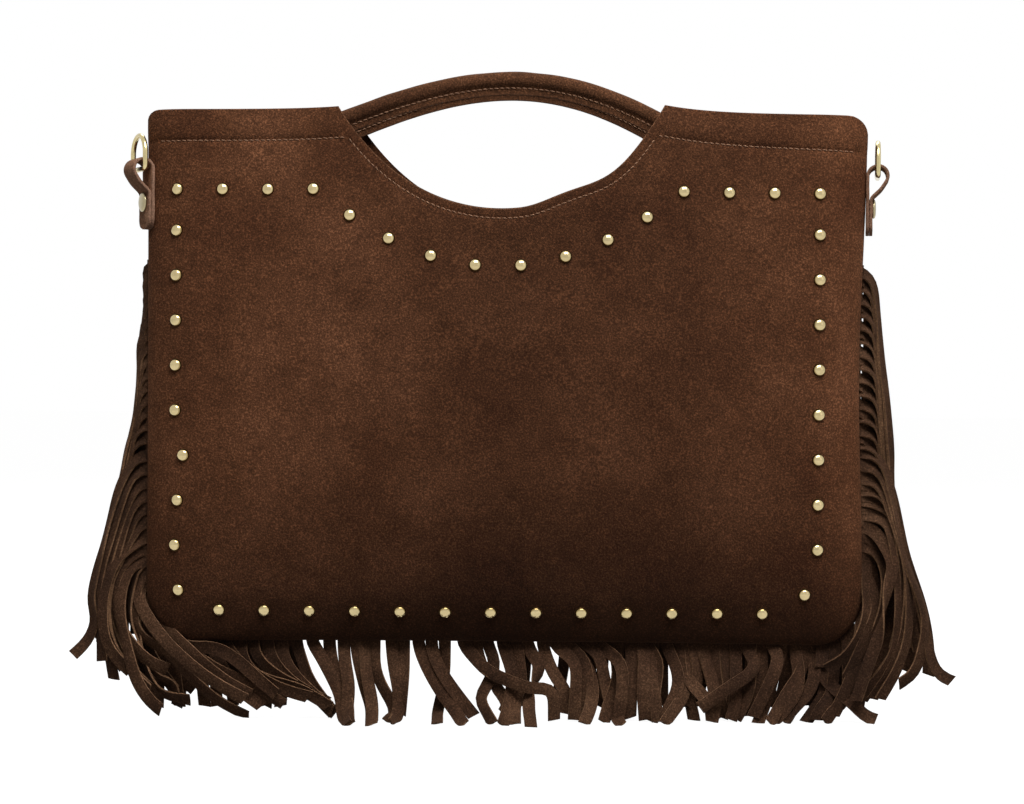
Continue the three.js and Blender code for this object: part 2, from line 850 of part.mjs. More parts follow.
// Where a plane turned from the bag's side toward its front touches the front panel's border
function tangentPlace(turn) {
  const round = Math.atan((frontEdgeBulge / borderRound) * Math.tan(turn * degree));
  return {
    x: halfWidth - borderRound * (1 - Math.cos(round)),
    y: frontSeamY - frontEdgeBulge * Math.sin(round),
  };
}

function addTab(sideName, side, turn, setBack) {
  const angle = side > 0 ? -turn * degree : Math.PI + turn * degree;
  const place = tangentPlace(turn);
  const group = new THREE.Group();
  group.rotation.z = angle;
  const along = new THREE.Vector2(-side * Math.sin(turn * degree), -Math.cos(turn * degree));
  const out = new THREE.Vector2(side * Math.cos(turn * degree), -Math.sin(turn * degree));
  group.position.set(
    side * place.x + out.x * clearance - along.x * setBack,
    place.y + out.y * clearance - along.y * setBack,
    bagTop - tabDrop,
  );
  bag.add(group);
  const tab = addPiece(`tab_${sideName}`, 'tab', tabGeometry());
  const ring = addPiece(`d_ring_${sideName}`, 'brass', ringGeometry());
  ring.position.set(tabLoopRadius, 0, tabLength - tabLoopRadius);
  const rivet = addPiece(`rivet_${sideName}`, 'brass', rivetGeometry());
  rivet.position.set(2 * tabLayer + clearance, 0, rivetAboveEnd);
  group.add(tab, ring, rivet);
}

addTab('left', -1, leftTabTurn, 0);
addTab('right', 1, rightTabTurn, rightTabSetBack);

export default bag;
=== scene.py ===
# A wide brown suede handbag: studded front, hand notch under two padded handles, D-rings on
# folded tabs, and a cut suede fringe round the front seam. Metres, the studded front faces -Y.
import json
import math
import random

import bmesh
import bpy
import numpy as np
from mathutils import Euler, Matrix, Vector, noise
from mathutils.bvhtree import BVHTree


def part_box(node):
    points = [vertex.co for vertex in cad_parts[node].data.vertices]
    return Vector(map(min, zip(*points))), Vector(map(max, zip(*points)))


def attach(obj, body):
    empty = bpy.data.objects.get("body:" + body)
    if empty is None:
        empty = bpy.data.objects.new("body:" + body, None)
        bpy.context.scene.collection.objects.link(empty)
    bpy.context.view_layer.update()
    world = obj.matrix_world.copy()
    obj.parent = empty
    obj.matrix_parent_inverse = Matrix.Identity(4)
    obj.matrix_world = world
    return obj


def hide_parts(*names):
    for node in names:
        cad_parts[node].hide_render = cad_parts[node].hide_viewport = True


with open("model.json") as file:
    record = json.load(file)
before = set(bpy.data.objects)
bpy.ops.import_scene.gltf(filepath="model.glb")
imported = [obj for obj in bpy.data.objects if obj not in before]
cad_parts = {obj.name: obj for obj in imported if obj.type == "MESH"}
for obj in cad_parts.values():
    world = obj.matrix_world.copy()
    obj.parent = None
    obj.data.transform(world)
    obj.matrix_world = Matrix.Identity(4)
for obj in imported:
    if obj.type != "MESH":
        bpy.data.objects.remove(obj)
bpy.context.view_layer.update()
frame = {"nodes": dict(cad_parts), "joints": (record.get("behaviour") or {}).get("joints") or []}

mm = 0.001
degree = math.pi / 180
random.seed(7)

# Sizes read from the frame
panel_low, panel_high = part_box("front_panel")
rear_low, rear_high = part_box("rear_panel")
half_width = panel_high.x
stand = panel_low.z
top = panel_high.z
front_seam_y = panel_high.y
rear_seam_y = rear_low.y
handle_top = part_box("front_handle")[1].z
fringe_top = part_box("fringe")[1].z
stud_nodes = sorted(name for name in frame["nodes"] if name.startswith("stud_"))
stud_places = [sum(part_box(name), Vector()) / 2 for name in stud_nodes]

# Body
FRONT_CROWN = 11 * mm
REAR_CROWN = 9 * mm
FULLEST_SHARE = 0.42
BORDER_ROUND = 30 * mm
BOTTOM_CORNER = 26 * mm
LEFT_EAR_CORNER = 6 * mm
RIGHT_EAR_CORNER = 11 * mm
LEFT_EAR_DROP = 2.2 * mm
RIGHT_EAR_DROP = 4.8 * mm
RIGHT_EAR_LIFT = 2.0 * mm
EAR_DROP_LENGTH = 26 * mm
RIGHT_DENT = 3.0 * mm
DENT_LEVEL = 147 * mm
DENT_REACH = 75 * mm
TOP_FLARE = 1.3 * mm
LOW_TUCK = 0.3
LOW_TUCK_HEIGHT = 85 * mm
# Height over which the painted shade at the lower edge fades out
LOW_SHADE_HEIGHT = 95 * mm
BOTTOM_SAG = 3.0 * mm
CORNER_SAG = 3.2 * mm
SAG_STAND_OFF = 6 * mm
SAG_WIDTH = 4.5 * mm
SUEDE = 1.8 * mm
LINING = 0.8 * mm
FACING_DEPTH = 32 * mm
SEAM_GAP = 0.3 * mm
HEM_DEPTH = 16.5 * mm
RIGHT_HEM_EXTRA = 2.5 * mm
HEM_RISE = 0.7 * mm
HEM_LEFT_CORNER = 12 * mm
HEM_RIGHT_CORNER = 14 * mm
NOTCH_WIDTH = 174 * mm
NOTCH_CENTRE = -3.5 * mm
NOTCH_DEPTH = 54 * mm
NOTCH_ROUND_SHARE = 0.757
NOTCH_STITCH_INSET = 5.3 * mm
NOTCH_FLANK_BEND = 3.0 * mm
NOTCH_BEND_START = 9.5 * mm
NOTCH_LINE_POINTS = 90
REAR_NOTCH_SHIFT = 6 * mm
TINY = 0.01 * mm

# Relief of the suede: how high it waves, steps and sinks, and over what width
BROAD_WAVE = 1.3 * mm
BROAD_WAVE_WIDTH = 95 * mm
SMALL_WAVE = 0.5 * mm
SMALL_WAVE_WIDTH = 34 * mm
FINE_WAVE = 0.12 * mm
FINE_WAVE_WIDTH = 9 * mm
HEM_STEP_ABOVE = 1.2 * mm
HEM_STEP_WIDTH = 0.7 * mm
HEM_GROOVE = 0.5 * mm
HEM_GROOVE_WIDTH = 1.2 * mm
HEM_SWELL = 0.5 * mm
HEM_SWELL_ABOVE = 8 * mm
HEM_SWELL_WIDTH = 5 * mm
STITCH_SINK = 0.6 * mm
STITCH_SINK_WIDTH = 1.4 * mm
STITCH_SINK_BELOW = 20 * mm
NOTCH_OVERLAP = 8 * mm
STUD_SINK = 0.7 * mm
STUD_SINK_WIDTH = 5.0 * mm
STUD_SINK_REACH = 16 * mm

# Gusset and lining: how they sag, crease and ruck
GUSSET_STEP = 3.5 * mm
GUSSET_ACROSS = 14
GUSSET_TOP_DROP = 1.5 * mm
GUSSET_SAG = 1.8 * mm
GUSSET_SAG_CHANGE = 1.3 * mm
GUSSET_RIB = 0.8 * mm
GUSSET_CREASE = 0.5 * mm
LINING_GAP = 0.96 * mm
LINING_RUCK = 0.8 * mm

# How finely the panels and the lining are divided: over the round border, an ear, the notch,
# and up the face
PANEL_STEPS = (12, 26, 64, 66)
LINING_STEPS = (5, 9, 14, 22)

# Stitches
STITCH_PITCH = 3.0 * mm
STITCH_LENGTH = 2.5 * mm
THREAD_RADIUS = 0.36 * mm

# Handles
HANDLE_RADIUS = 4.25 * mm
HANDLE_FLANGE_HEIGHT = 3.8 * mm
HANDLE_FLANGE_HALF = 1.6 * mm
HANDLE_DROP = 2.5 * mm
HANDLE_TUCK = 27 * mm
REAR_HANDLE_LIFT = 1.6 * mm
HANDLE_SLOPE = 17 * degree
HANDLE_SKEW = 0.07
HANDLE_STEPS = 110
HANDLE_ROUND_STEPS = 24

# Fringe
STRAND_PITCH = 7.1 * mm
STRAND_WIDTH = 6.7 * mm
STRAND_THICKNESS = 1.0 * mm
STRAND_LENGTH = 145 * mm
ROOT_TUCK = 4 * mm
ROOT_REACH = 2.5 * mm
TIP_REACH = 9 * mm
LOWEST_SIDE_TIP = 38 * mm
FLOOR_GAP = 0.1 * mm
STRAND_STEP = 3.6 * mm
SIDE_STEP = 15 * mm
SIDE_FIRST_DROP = 6 * mm
SIDE_DEPTH_DROP = 22 * mm
SIDE_LEAST_OUT = 1.6 * mm
SIDE_SWAY = 0.8 * mm

# Hardware
STUD_DIAMETER = 6.9 * mm
STUD_HEIGHT = 2.7 * mm
STUD_BASE = 0.35 * mm
STUD_SUNK = 0.8 * mm
STUD_SEGMENTS = 32
TAB_WIDTH = 16 * mm
TAB_SHOWN_LAYER = 1.7 * mm
TAB_LOOP_RADIUS = 6.2 * mm
TAB_LOOP_START = 4 * mm
TAB_LOOP_END = -38
TAB_NECK_SHARE = 0.38
TAB_NECK_DROPS = (4.2 * mm, 8.6 * mm, 12 * mm)
TAB_EDGE_SOFT = 0.35 * mm
TAB_END_RADIUS = 6 * mm
RING_WIRE = 2.8 * mm
RING_SIDE_GAP = 0.5 * mm
RING_BEND = 2.2 * mm
RING_SEGMENTS = 16
RIVET_DIAMETER = 10.5 * mm
RIVET_HEIGHT = 1.5 * mm
RIVET_ABOVE_END = 14.5 * mm

# Studio
WORLD_LEVEL = 0.17
FLOOR_GREY = 0.2
FLOOR_LIFT = 0.96
FLOOR_HALF_SIZE = 30

# Camera of the photograph, which is 1024 x 804 pixels
IMAGE_WIDTH = 1024
IMAGE_HEIGHT = 804
FOCAL_PIXELS = 2270
SENSOR_WIDTH = 36
CAMERA_DISTANCE = 1200 * mm
CAMERA_ASIDE = 3.2 * mm
CAMERA_ABOVE_SEAM = 127.7 * mm
CAMERA_ROLL = -0.45 * degree


# Camera

def make_camera():
    data = bpy.data.cameras.new("camera")
    data.sensor_width = SENSOR_WIDTH
    data.lens = FOCAL_PIXELS / IMAGE_WIDTH * SENSOR_WIDTH
    camera = bpy.data.objects.new("camera", data)
    bpy.context.scene.collection.objects.link(camera)
    place = Vector((CAMERA_ASIDE, panel_low.y - CAMERA_DISTANCE, stand + CAMERA_ABOVE_SEAM))
    level = Euler((90 * degree, 0, 0)).to_matrix().to_4x4()
    camera.matrix_world = (
        Matrix.Translation(place) @ Matrix.Rotation(CAMERA_ROLL, 4, "Y") @ level
    )
    bpy.context.scene.camera = camera
    return camera


camera = make_camera()
bpy.context.view_layer.update()


def seen(px, py, y):
    """The point at depth y that shows at a pixel of the photograph."""
    ray = Vector(((px - IMAGE_WIDTH / 2) / FOCAL_PIXELS, (IMAGE_HEIGHT / 2 - py) / FOCAL_PIXELS, -1))
    ray = camera.matrix_world.to_3x3() @ ray
    eye = camera.matrix_world.translation
    return eye + ray * ((y - eye.y) / ray.y)


# Materials

def srgb(r, g, b):
    """A colour as it shows on a screen, from 0 to 255, as linear light."""
    def linear(c):
        c /= 255
        return c / 12.92 if c <= 0.04045 else ((c + 0.055) / 1.055) ** 2.4
    return (linear(r), linear(g), linear(b), 1.0)


def new_material(name):
    material = bpy.data.materials.new(name)
    material.use_nodes = True
    nodes = material.node_tree.nodes
    return material, nodes, material.node_tree.links, nodes["Principled BSDF"]


def noise_node(nodes, links, coordinates, scale, detail, roughness):
    node = nodes.new("ShaderNodeTexNoise")
    node.inputs["Scale"].default_value = scale
    node.inputs["Detail"].default_value = detail
    node.inputs["Roughness"].default_value = roughness
    links.new(coordinates, node.inputs["Vector"])
    return node.outputs["Fac"]


def ramp_node(nodes, links, factor, stops):
    node = nodes.new("ShaderNodeValToRGB")
    ramp = node.color_ramp
    while len(ramp.elements) < len(stops):
        ramp.elements.new(0.5)
    for element, (position, color) in zip(ramp.elements, stops):
        element.position = position
        element.color = color
    links.new(factor, node.inputs["Fac"])
    return node.outputs["Color"]


def mix_node(nodes, links, kind, factor, a, b):
    node = nodes.new("ShaderNodeMix")
    node.data_type = "RGBA"
    node.blend_type = kind
    if isinstance(factor, float):
        node.inputs[0].default_value = factor
    else:
        links.new(factor, node.inputs[0])
    links.new(a, node.inputs[6])
    links.new(b, node.inputs[7])
    return node.outputs[2]


def span_node(nodes, links, value, low, high):
    """Runs from 0 where the value is low to 1 where it is high."""
    node = nodes.new("ShaderNodeMapRange")
    node.inputs["From Min"].default_value = low
    node.inputs["From Max"].default_value = high
    links.new(value, node.inputs["Value"])
    return node.outputs[0]


def grey(value):
    return (value, value, value, 1.0)


# Painted shade that darkens the suede towards its lower edge, and painted light that lightens it
# towards the left and right sides, most at the right
PAINTED_LOW_SHADE = [(0.0, grey(0.30)), (0.45, grey(0.72)), (1.0, grey(1.0))]
PAINTED_SIDE_LIGHT = [
    (0.0, grey(1.5)), (0.25, grey(1.25)), (0.5, grey(0.98)), (0.75, grey(1.08)),
    (0.92, grey(1.4)), (1.0, grey(2.0)),
]


def bump_chain(nodes, links, heights):
    """Bumps on top of each other: (height, distance in metres, strength) for each."""
    normal = None
    for height, distance, strength in heights:
        node = nodes.new("ShaderNodeBump")
        node.inputs["Distance"].default_value = distance
        node.inputs["Strength"].default_value = strength
        links.new(height, node.inputs["Height"])
        if normal is not None:
            links.new(normal, node.inputs["Normal"])
        normal = node.outputs["Normal"]
    return normal


def suede_material(name, dark, middle, light, grain=0.8, patch_scale=16, shade=False):
    """Napped leather: patches of nap lying different ways, a mottle, and a grain of short fibres.
    With shade, it also gets painted shade towards the lower edge and painted light towards the sides.
    """
    material, nodes, links, shader = new_material(name)
    coordinates = nodes.new("ShaderNodeTexCoord").outputs["Object"]
    patches = noise_node(nodes, links, coordinates, patch_scale, 3.0, 0.55)
    color = ramp_node(nodes, links, patches, [(0.30, dark), (0.50, middle), (0.72, light)])
    mottle = noise_node(nodes, links, coordinates, 150, 4.0, 0.65)
    mottle_tone = ramp_node(nodes, links, mottle, [(0.30, grey(0.68)), (0.70, grey(1.3))])
    color = mix_node(nodes, links, "MULTIPLY", 0.6, color, mottle_tone)
    nap = noise_node(nodes, links, coordinates, 1050, 3.0, 0.7)
    nap_stops = [(0.32, grey(0.30)), (0.52, grey(0.85)), (0.68, grey(2.3))]
    color = mix_node(nodes, links, "MULTIPLY", grain, color, ramp_node(nodes, links, nap, nap_stops))
    # Painted shade: darker towards the lower edge
    if shade:
        place = nodes.new("ShaderNodeSeparateXYZ")
        links.new(coordinates, place.inputs[0])
        rise = span_node(nodes, links, place.outputs["Z"], stand, stand + LOW_SHADE_HEIGHT)
        low = ramp_node(nodes, links, rise, PAINTED_LOW_SHADE)
        color = mix_node(nodes, links, "MULTIPLY", 1.0, color, low)
        # Painted light: lighter towards both sides, most at the right
        aside = span_node(nodes, links, place.outputs["X"], -half_width, half_width)
        side_light = ramp_node(nodes, links, aside, PAINTED_SIDE_LIGHT)
        color = mix_node(nodes, links, "MULTIPLY", 1.0, color, side_light)
    links.new(color, shader.inputs["Base Color"])
    normal = bump_chain(nodes, links, [
        (mottle, 0.6 * mm, 0.35),
        (nap, 0.6 * mm, 0.8),
    ])
    links.new(normal, shader.inputs["Normal"])
    shader.inputs["Roughness"].default_value = 0.95
    shader.inputs["Specular IOR Level"].default_value = 0.1
    shader.inputs["Sheen Weight"].default_value = 0.12
    shader.inputs["Sheen Roughness"].default_value = 0.45
    shader.inputs["Sheen Tint"].default_value = srgb(190, 140, 105)
    return material


def lining_material():
    material, nodes, links, shader = new_material("lining_cloth")
    coordinates = nodes.new("ShaderNodeTexCoord").outputs["Object"]
    threads = []
    for direction in ("X", "Z"):
        wave = nodes.new("ShaderNodeTexWave")
        wave.bands_direction = direction
        wave.inputs["Scale"].default_value = 420
        wave.inputs["Distortion"].default_value = 0.6
        links.new(coordinates, wave.inputs["Vector"])
        threads.append(wave.outputs["Color"])
    cloth = mix_node(nodes, links, "MULTIPLY", 1.0, *threads)
    color = ramp_node(nodes, links, cloth, [(0.0, srgb(34, 24, 20)), (0.6, srgb(58, 42, 36))])
    links.new(color, shader.inputs["Base Color"])
    links.new(bump_chain(nodes, links, [(cloth, 0.15 * mm, 0.4)]), shader.inputs["Normal"])
    shader.inputs["Roughness"].default_value = 0.75
    shader.inputs["Sheen Weight"].default_value = 0.15
    return material


def brass_material(name, color, roughness):
    material, nodes, links, shader = new_material(name)
    coordinates = nodes.new("ShaderNodeTexCoord").outputs["Object"]
    cloud = noise_node(nodes, links, coordinates, 260, 3.0, 0.6)
    deep = tuple(c * 0.78 for c in color[:3]) + (1.0,)
    tone = ramp_node(nodes, links, cloud, [(0.25, deep), (0.60, color)])
    links.new(tone, shader.inputs["Base Color"])
    links.new(bump_chain(nodes, links, [(cloud, 0.03 * mm, 0.3)]), shader.inputs["Normal"])
    shader.inputs["Metallic"].default_value = 1.0
    shader.inputs["Roughness"].default_value = roughness
    return material


def thread_material():
    material, nodes, links, shader = new_material("thread")
    coordinates = nodes.new("ShaderNodeTexCoord").outputs["Object"]
    strands = noise_node(nodes, links, coordinates, 1800, 2.0, 0.5)
    color = ramp_node(nodes, links, strands, [(0.3, srgb(104, 71, 49)), (0.7, srgb(152, 112, 82))])
    links.new(color, shader.inputs["Base Color"])
    links.new(bump_chain(nodes, links, [(strands, 0.1 * mm, 0.5)]), shader.inputs["Normal"])
    shader.inputs["Roughness"].default_value = 0.7
    return material


# The suede of the panels and gusset, with painted shade low down and painted light at the sides
suede = suede_material("suede", srgb(64, 37, 22), srgb(78, 48, 30), srgb(94, 60, 40), shade=True)
handle_suede = suede_material("handle_suede", srgb(72, 44, 28), srgb(84, 54, 35), srgb(96, 62, 41))
suede_cut = suede_material("suede_cut_edge", srgb(86, 56, 38), srgb(108, 74, 52), srgb(128, 90, 66))
fringe_suede = suede_material(
    "fringe_suede", srgb(52, 35, 25), srgb(70, 48, 34), srgb(92, 66, 48), 0.7, 30
)
fringe_cut = suede_material(
    "fringe_cut_edge", srgb(92, 66, 47), srgb(116, 86, 62), srgb(140, 106, 80), 0.6, 30
)
tab_suede = suede_material(
    "tab_suede", srgb(118, 84, 64), srgb(142, 104, 81), srgb(162, 124, 98), 0.5, 60
)
tab_cut = suede_material(
    "tab_cut_edge", srgb(124, 92, 73), srgb(146, 112, 92), srgb(160, 126, 104), 0.4
)
lining_cloth = lining_material()
brass = brass_material("pale_gold", srgb(196, 178, 134), 0.12)
# Painted shade on the studs' foot rings, and painted reflections of the dark suede on their rims and
# sides
painted_shade_brass = brass_material("brass_foot_painted_shade", srgb(84, 62, 36), 0.4)
painted_rim_reflection_brass = brass_material("brass_rim_painted_reflection", srgb(104, 82, 50), 0.25)
painted_side_reflection_brass = brass_material("brass_side_painted_reflection", srgb(150, 128, 84), 0.18)
ring_brass = brass_material("ring_gold", srgb(204, 188, 140), 0.18)
rivet_brass = brass_material("rivet_gold", srgb(168, 156, 124), 0.30)
thread = thread_material()


# Mesh helpers

def add_piece(
    name, points, faces, materials, face_slots=None, sharp=50, body="bag", slot="suede"
):
    mesh = bpy.data.meshes.new(name)
    mesh.from_pydata([tuple(p) for p in points], [], faces)
    for material in materials:
        mesh.materials.append(material)
    if face_slots is not None:
        mesh.polygons.foreach_set("material_index", face_slots)
    work = bmesh.new()
    work.from_mesh(mesh)
    bmesh.ops.recalc_face_normals(work, faces=work.faces)
    work.to_mesh(mesh)
    work.free()
    mesh.shade_smooth()
    mesh.set_sharp_from_angle(angle=sharp * degree)
    piece = bpy.data.objects.new(name, mesh)
    bpy.context.scene.collection.objects.link(piece)
    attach(piece, body)
    return piece


class Parts:
    """Points, faces and face materials gathered from several closed forms."""

    def __init__(self):
        self.points = []
        self.faces = []
        self.slots = []

    def add(self, points, faces, slots=None):
        start = len(self.points)
        self.points.extend(points)
        self.faces.extend([tuple(start + k for k in face) for face in faces])
        self.slots.extend(slots if slots is not None else [0] * len(faces))


def sweep(sections, closed=False, edge_pairs=(), cap_slot=0):
    """Joins rings of points into a tube. A face between two points of a ring named in
    edge_pairs gets the second material."""
    count = len(sections[0])
    points = [p for section in sections for p in section]
    faces = []
    slots = []
    last = len(sections) if closed else len(sections) - 1
    for i in range(last):
        here = i * count
        there = (i + 1) % len(sections) * count
        for j in range(count):
            k = (j + 1) % count
            faces.append((here + j, here + k, there + k, there + j))
            slots.append(1 if j in edge_pairs else 0)
    if not closed:
        end = (len(sections) - 1) * count
        faces.append(tuple(range(count)))
        faces.append(tuple(range(end + count - 1, end - 1, -1)))
        slots.extend([cap_slot, cap_slot])
    return points, faces, slots


def circle(centre, across, out, radius, count):
    """Points round a circle in the plane of two directions."""
    angles = [2 * math.pi * n / count for n in range(count)]
    return [centre + (across * math.cos(a) + out * math.sin(a)) * radius for a in angles]


def even(start, stop, count):
    return [start + (stop - start) * (i + 1) / count for i in range(count)]


def smooth_line(points, step):
    """A curve through the points, as even steps."""
    points = [Vector(p) for p in points]
    padded = [points[0] * 2 - points[1]] + points + [points[-1] * 2 - points[-2]]
    fine = []
    for a, b, c, d in zip(padded, padded[1:], padded[2:], padded[3:]):
        for k in range(12):
            t = k / 12
            fine.append(0.5 * (
                2 * b + (c - a) * t + (2 * a - 5 * b + 4 * c - d) * t * t
                + (3 * b - a - 3 * c + d) * t ** 3
            ))
    fine.append(points[-1])
    lengths = [0.0]
    for a, b in zip(fine, fine[1:]):
        lengths.append(lengths[-1] + (b - a).length)
    count = max(int(round(lengths[-1] / step)), 2)
    places = np.linspace(0, lengths[-1], count + 1)
    axes = [np.interp(places, lengths, [p[k] for p in fine]) for k in range(3)]
    return [Vector(p) for p in zip(*axes)]


def tangents(line):
    result = []
    for i in range(len(line)):
        before = line[max(i - 1, 0)]
        after = line[min(i + 1, len(line) - 1)]
        result.append((after - before).normalized())
    return result


# Outline and surfaces of the bag

def bottom_z(x):
    past = np.maximum(np.abs(x) - (half_width - BOTTOM_CORNER), 0)
    return stand + BOTTOM_CORNER - np.sqrt(np.maximum(BOTTOM_CORNER ** 2 - past ** 2, 0))


def ear_top(x):
    """The top edge beside the notch, highest at the notch, with a round outer corner."""
    right = x > NOTCH_CENTRE
    beyond = max(abs(x - NOTCH_CENTRE) - NOTCH_WIDTH / 2, 0)
    drop = RIGHT_EAR_DROP if right else LEFT_EAR_DROP
    radius = RIGHT_EAR_CORNER if right else LEFT_EAR_CORNER
    past = max(abs(x) - (half_width - radius), 0)
    corner = radius - math.sqrt(max(radius ** 2 - past ** 2, 0))
    lift = RIGHT_EAR_LIFT if right else 0
    return top + lift - drop * (1 - math.exp(-beyond / EAR_DROP_LENGTH)) - corner


def notch_edge(x, shift=0.0):
    place = x - NOTCH_CENTRE - shift
    t = abs(place) / (NOTCH_WIDTH / 2)
    rise = NOTCH_ROUND_SHARE * t ** 2 + (1 - NOTCH_ROUND_SHARE) * t ** 4
    bent = max(place - NOTCH_BEND_START, 0) / (NOTCH_WIDTH / 2 - NOTCH_BEND_START)
    bend = NOTCH_FLANK_BEND * math.sin(2 * math.pi * bent) * math.sin(math.pi * bent)
    lift = RIGHT_EAR_LIFT * t ** 4 if place > 0 else 0
    return top - NOTCH_DEPTH * (1 - rise) + bend + lift


def in_notch(x, shift=0.0):
    return abs(x - NOTCH_CENTRE - shift) < NOTCH_WIDTH / 2 - TINY


def top_z(x, shift=0.0):
    return notch_edge(x, shift) if in_notch(x, shift) else ear_top(x)


def hem_depth(x):
    share = min(max((x - NOTCH_CENTRE - NOTCH_WIDTH / 2) / (half_width - NOTCH_WIDTH / 2), 0), 1)
    return HEM_DEPTH + RIGHT_HEM_EXTRA * share


def hem_z(x):
    level = min(max(x, HEM_LEFT_CORNER - half_width), half_width - HEM_RIGHT_CORNER)
    return ear_top(level) - hem_depth(x)


def side_dent(x, z):
    """How far the bag's right side is pushed in about its middle."""
    return RIGHT_DENT * groove(z - (stand + DENT_LEVEL), DENT_REACH) * max(x / half_width, 0) ** 4


def edge_distance(x, z):
    r = BOTTOM_CORNER
    qx = np.abs(x) - (half_width - r)
    qz = stand + r - z
    outside = np.hypot(np.maximum(qx, 0), np.maximum(qz, 0))
    return r - outside - np.minimum(np.maximum(qx, qz), 0)


def pillow(x, z, edge_bulge, crown):
    inward = np.clip(edge_distance(x, z), 0, BORDER_ROUND) / BORDER_ROUND
    roundness = np.sqrt(1 - (1 - inward) ** 2)
    across = 1 - (x / half_width) ** 2
    height = (z - stand) / (top - stand)
    up = 1 - ((height - FULLEST_SHARE) / (1 - FULLEST_SHARE)) ** 2
    low = np.clip(1 - (z - stand) / LOW_TUCK_HEIGHT, 0, 1)
    return roundness * (edge_bulge + crown * across * up) * (1 - LOW_TUCK * low ** 2)


def seam_outward(x, z):
    qx = abs(x) - (half_width - BOTTOM_CORNER)
    qz = stand + BOTTOM_CORNER - z
    side = 1 if x > 0 else -1
    if qx > 0 and qz > 0:
        return Vector((side * qx, 0, -qz)).normalized()
    return Vector((side, 0, 0)) if qx > qz else Vector((0, 0, -1))


def notch_line(inset, shift):
    """Points along the notch's edge, moved down and out from it by inset."""
    line = []
    half = NOTCH_WIDTH / 2
    for x in np.linspace(-half, half, NOTCH_LINE_POINTS) + NOTCH_CENTRE + shift:
        ahead = notch_edge(x + 0.1 * mm, shift) - notch_edge(x - 0.1 * mm, shift)
        normal = Vector((ahead, 0, -0.2 * mm)).normalized()
        line.append(Vector((x, 0, notch_edge(x, shift))) + normal * inset)
    return line


def groove(distance, width):
    return math.exp(-(distance / width) ** 2)


def wander(x, z, size, seed):
    return noise.noise(Vector((x / size, seed, z / size)))


class Wall:
    """One face of the bag: where its outer surface lies."""

    def __init__(self, seam_y, facing, depth, crown, seed, studded, shift):
        self.seam_y = seam_y
        self.facing = facing
        self.edge_bulge = depth - crown
        self.crown = crown
        self.seed = seed
        self.studded = studded
        self.shift = shift
        self.stitches = notch_line(NOTCH_STITCH_INSET, shift)

    def relief(self, x, z):
        """How far the suede stands off its smooth form."""
        inward = min(max(float(edge_distance(x, z)), 0), BORDER_ROUND) / BORDER_ROUND
        broad = BROAD_WAVE * wander(x, z, BROAD_WAVE_WIDTH, self.seed)
        height = inward * (broad + SMALL_WAVE * wander(x, z, SMALL_WAVE_WIDTH, self.seed + 3))
        height += FINE_WAVE * wander(x, z, FINE_WAVE_WIDTH, self.seed + 5)
        hem = hem_z(x)
        aside = abs(x - NOTCH_CENTRE - self.shift) - NOTCH_WIDTH / 2
        if aside > -NOTCH_OVERLAP:
            step = 1 / (1 + math.exp(-(z - hem - HEM_STEP_ABOVE) / HEM_STEP_WIDTH))
            height += HEM_RISE * step - HEM_GROOVE * groove(z - hem, HEM_GROOVE_WIDTH)
            height += HEM_SWELL * groove(z - hem - HEM_SWELL_ABOVE, HEM_SWELL_WIDTH)
        if aside < NOTCH_OVERLAP and top - NOTCH_DEPTH - STITCH_SINK_BELOW < z < hem:
            near = min((p.x - x) ** 2 + (p.z - z) ** 2 for p in self.stitches)
            height -= STITCH_SINK * math.exp(-near / STITCH_SINK_WIDTH ** 2)
        if self.studded:
            for place in stud_places:
                gap = math.hypot(place.x - x, place.z - z)
                if gap < STUD_SINK_REACH:
                    height -= STUD_SINK * groove(gap, STUD_SINK_WIDTH)
        return height

    def smooth(self, x, z):
        stand_off = float(pillow(x, z, self.edge_bulge, self.crown))
        sag = BOTTOM_SAG + CORNER_SAG * abs(x / half_width) ** 3
        low = min(max((stand + BORDER_ROUND - z) / BORDER_ROUND, 0), 1)
        droop = sag * low * groove(stand_off - SAG_STAND_OFF, SAG_WIDTH)
        height = (z - stand) / (top - stand)
        flare = TOP_FLARE * (x / half_width) ** 3 * height ** 2
        return Vector((x + flare - side_dent(x, z), self.seam_y + self.facing * stand_off, z - droop))

    def point(self, x, z):
        return self.smooth(x, z) + Vector((0, self.facing * self.relief(x, z), 0))

    def normal(self, x, z):
        step = 0.6 * mm
        along_x = self.smooth(x + step, z) - self.smooth(x - step, z)
        along_z = self.smooth(x, z + step) - self.smooth(x, z - step)
        return along_x.cross(along_z).normalized() * -self.facing

    def high(self, x):
        return top_z(x, self.shift)


front = Wall(front_seam_y, -1, front_seam_y - panel_low.y, FRONT_CROWN, 0.3, True, 0)
rear = Wall(
    rear_seam_y, 1, rear_high.y - rear_seam_y, REAR_CROWN, 8.7, False, REAR_NOTCH_SHIFT
)


def border_steps(count):
    return [BORDER_ROUND * (1 - math.cos(i / count * 90 * degree)) for i in range(count)]


def column_places(border, ear, notch, shift=0.0):
    inside = half_width - BORDER_ROUND
    edge = [-half_width + s for s in border_steps(border)]
    left = NOTCH_CENTRE + shift - NOTCH_WIDTH / 2
    right = NOTCH_CENTRE + shift + NOTCH_WIDTH / 2
    middle = even(-inside, left, ear) + even(left, right, notch) + even(right, inside, ear)
    return edge + [-inside] + middle + [-x for x in reversed(edge)]


# Depths below the top edge at which rows lie close together, for the stitched groove and rim
FINE_ROWS = [d * mm for d in (
    20, 18.4, 17.4, 16.8, 16.2, 15.6, 14.6, 12.5, 9.5, 7.6,
    6.6, 5.9, 5.3, 4.7, 4.0, 3.0, 1.8, 0.8, 0.3, 0,
)]


def row_places(x, border, rest, high, fine=False):
    low = float(bottom_z(x))
    rows = [low + s for s in border_steps(border)] + [low + BORDER_ROUND]
    if not fine:
        return rows + even(low + BORDER_ROUND, high, rest)
    scale = hem_depth(x) / HEM_DEPTH
    start = high - (FINE_ROWS[0] + 2 * mm) * scale
    return rows + even(low + BORDER_ROUND, start, rest) + [high - d * scale for d in FINE_ROWS]


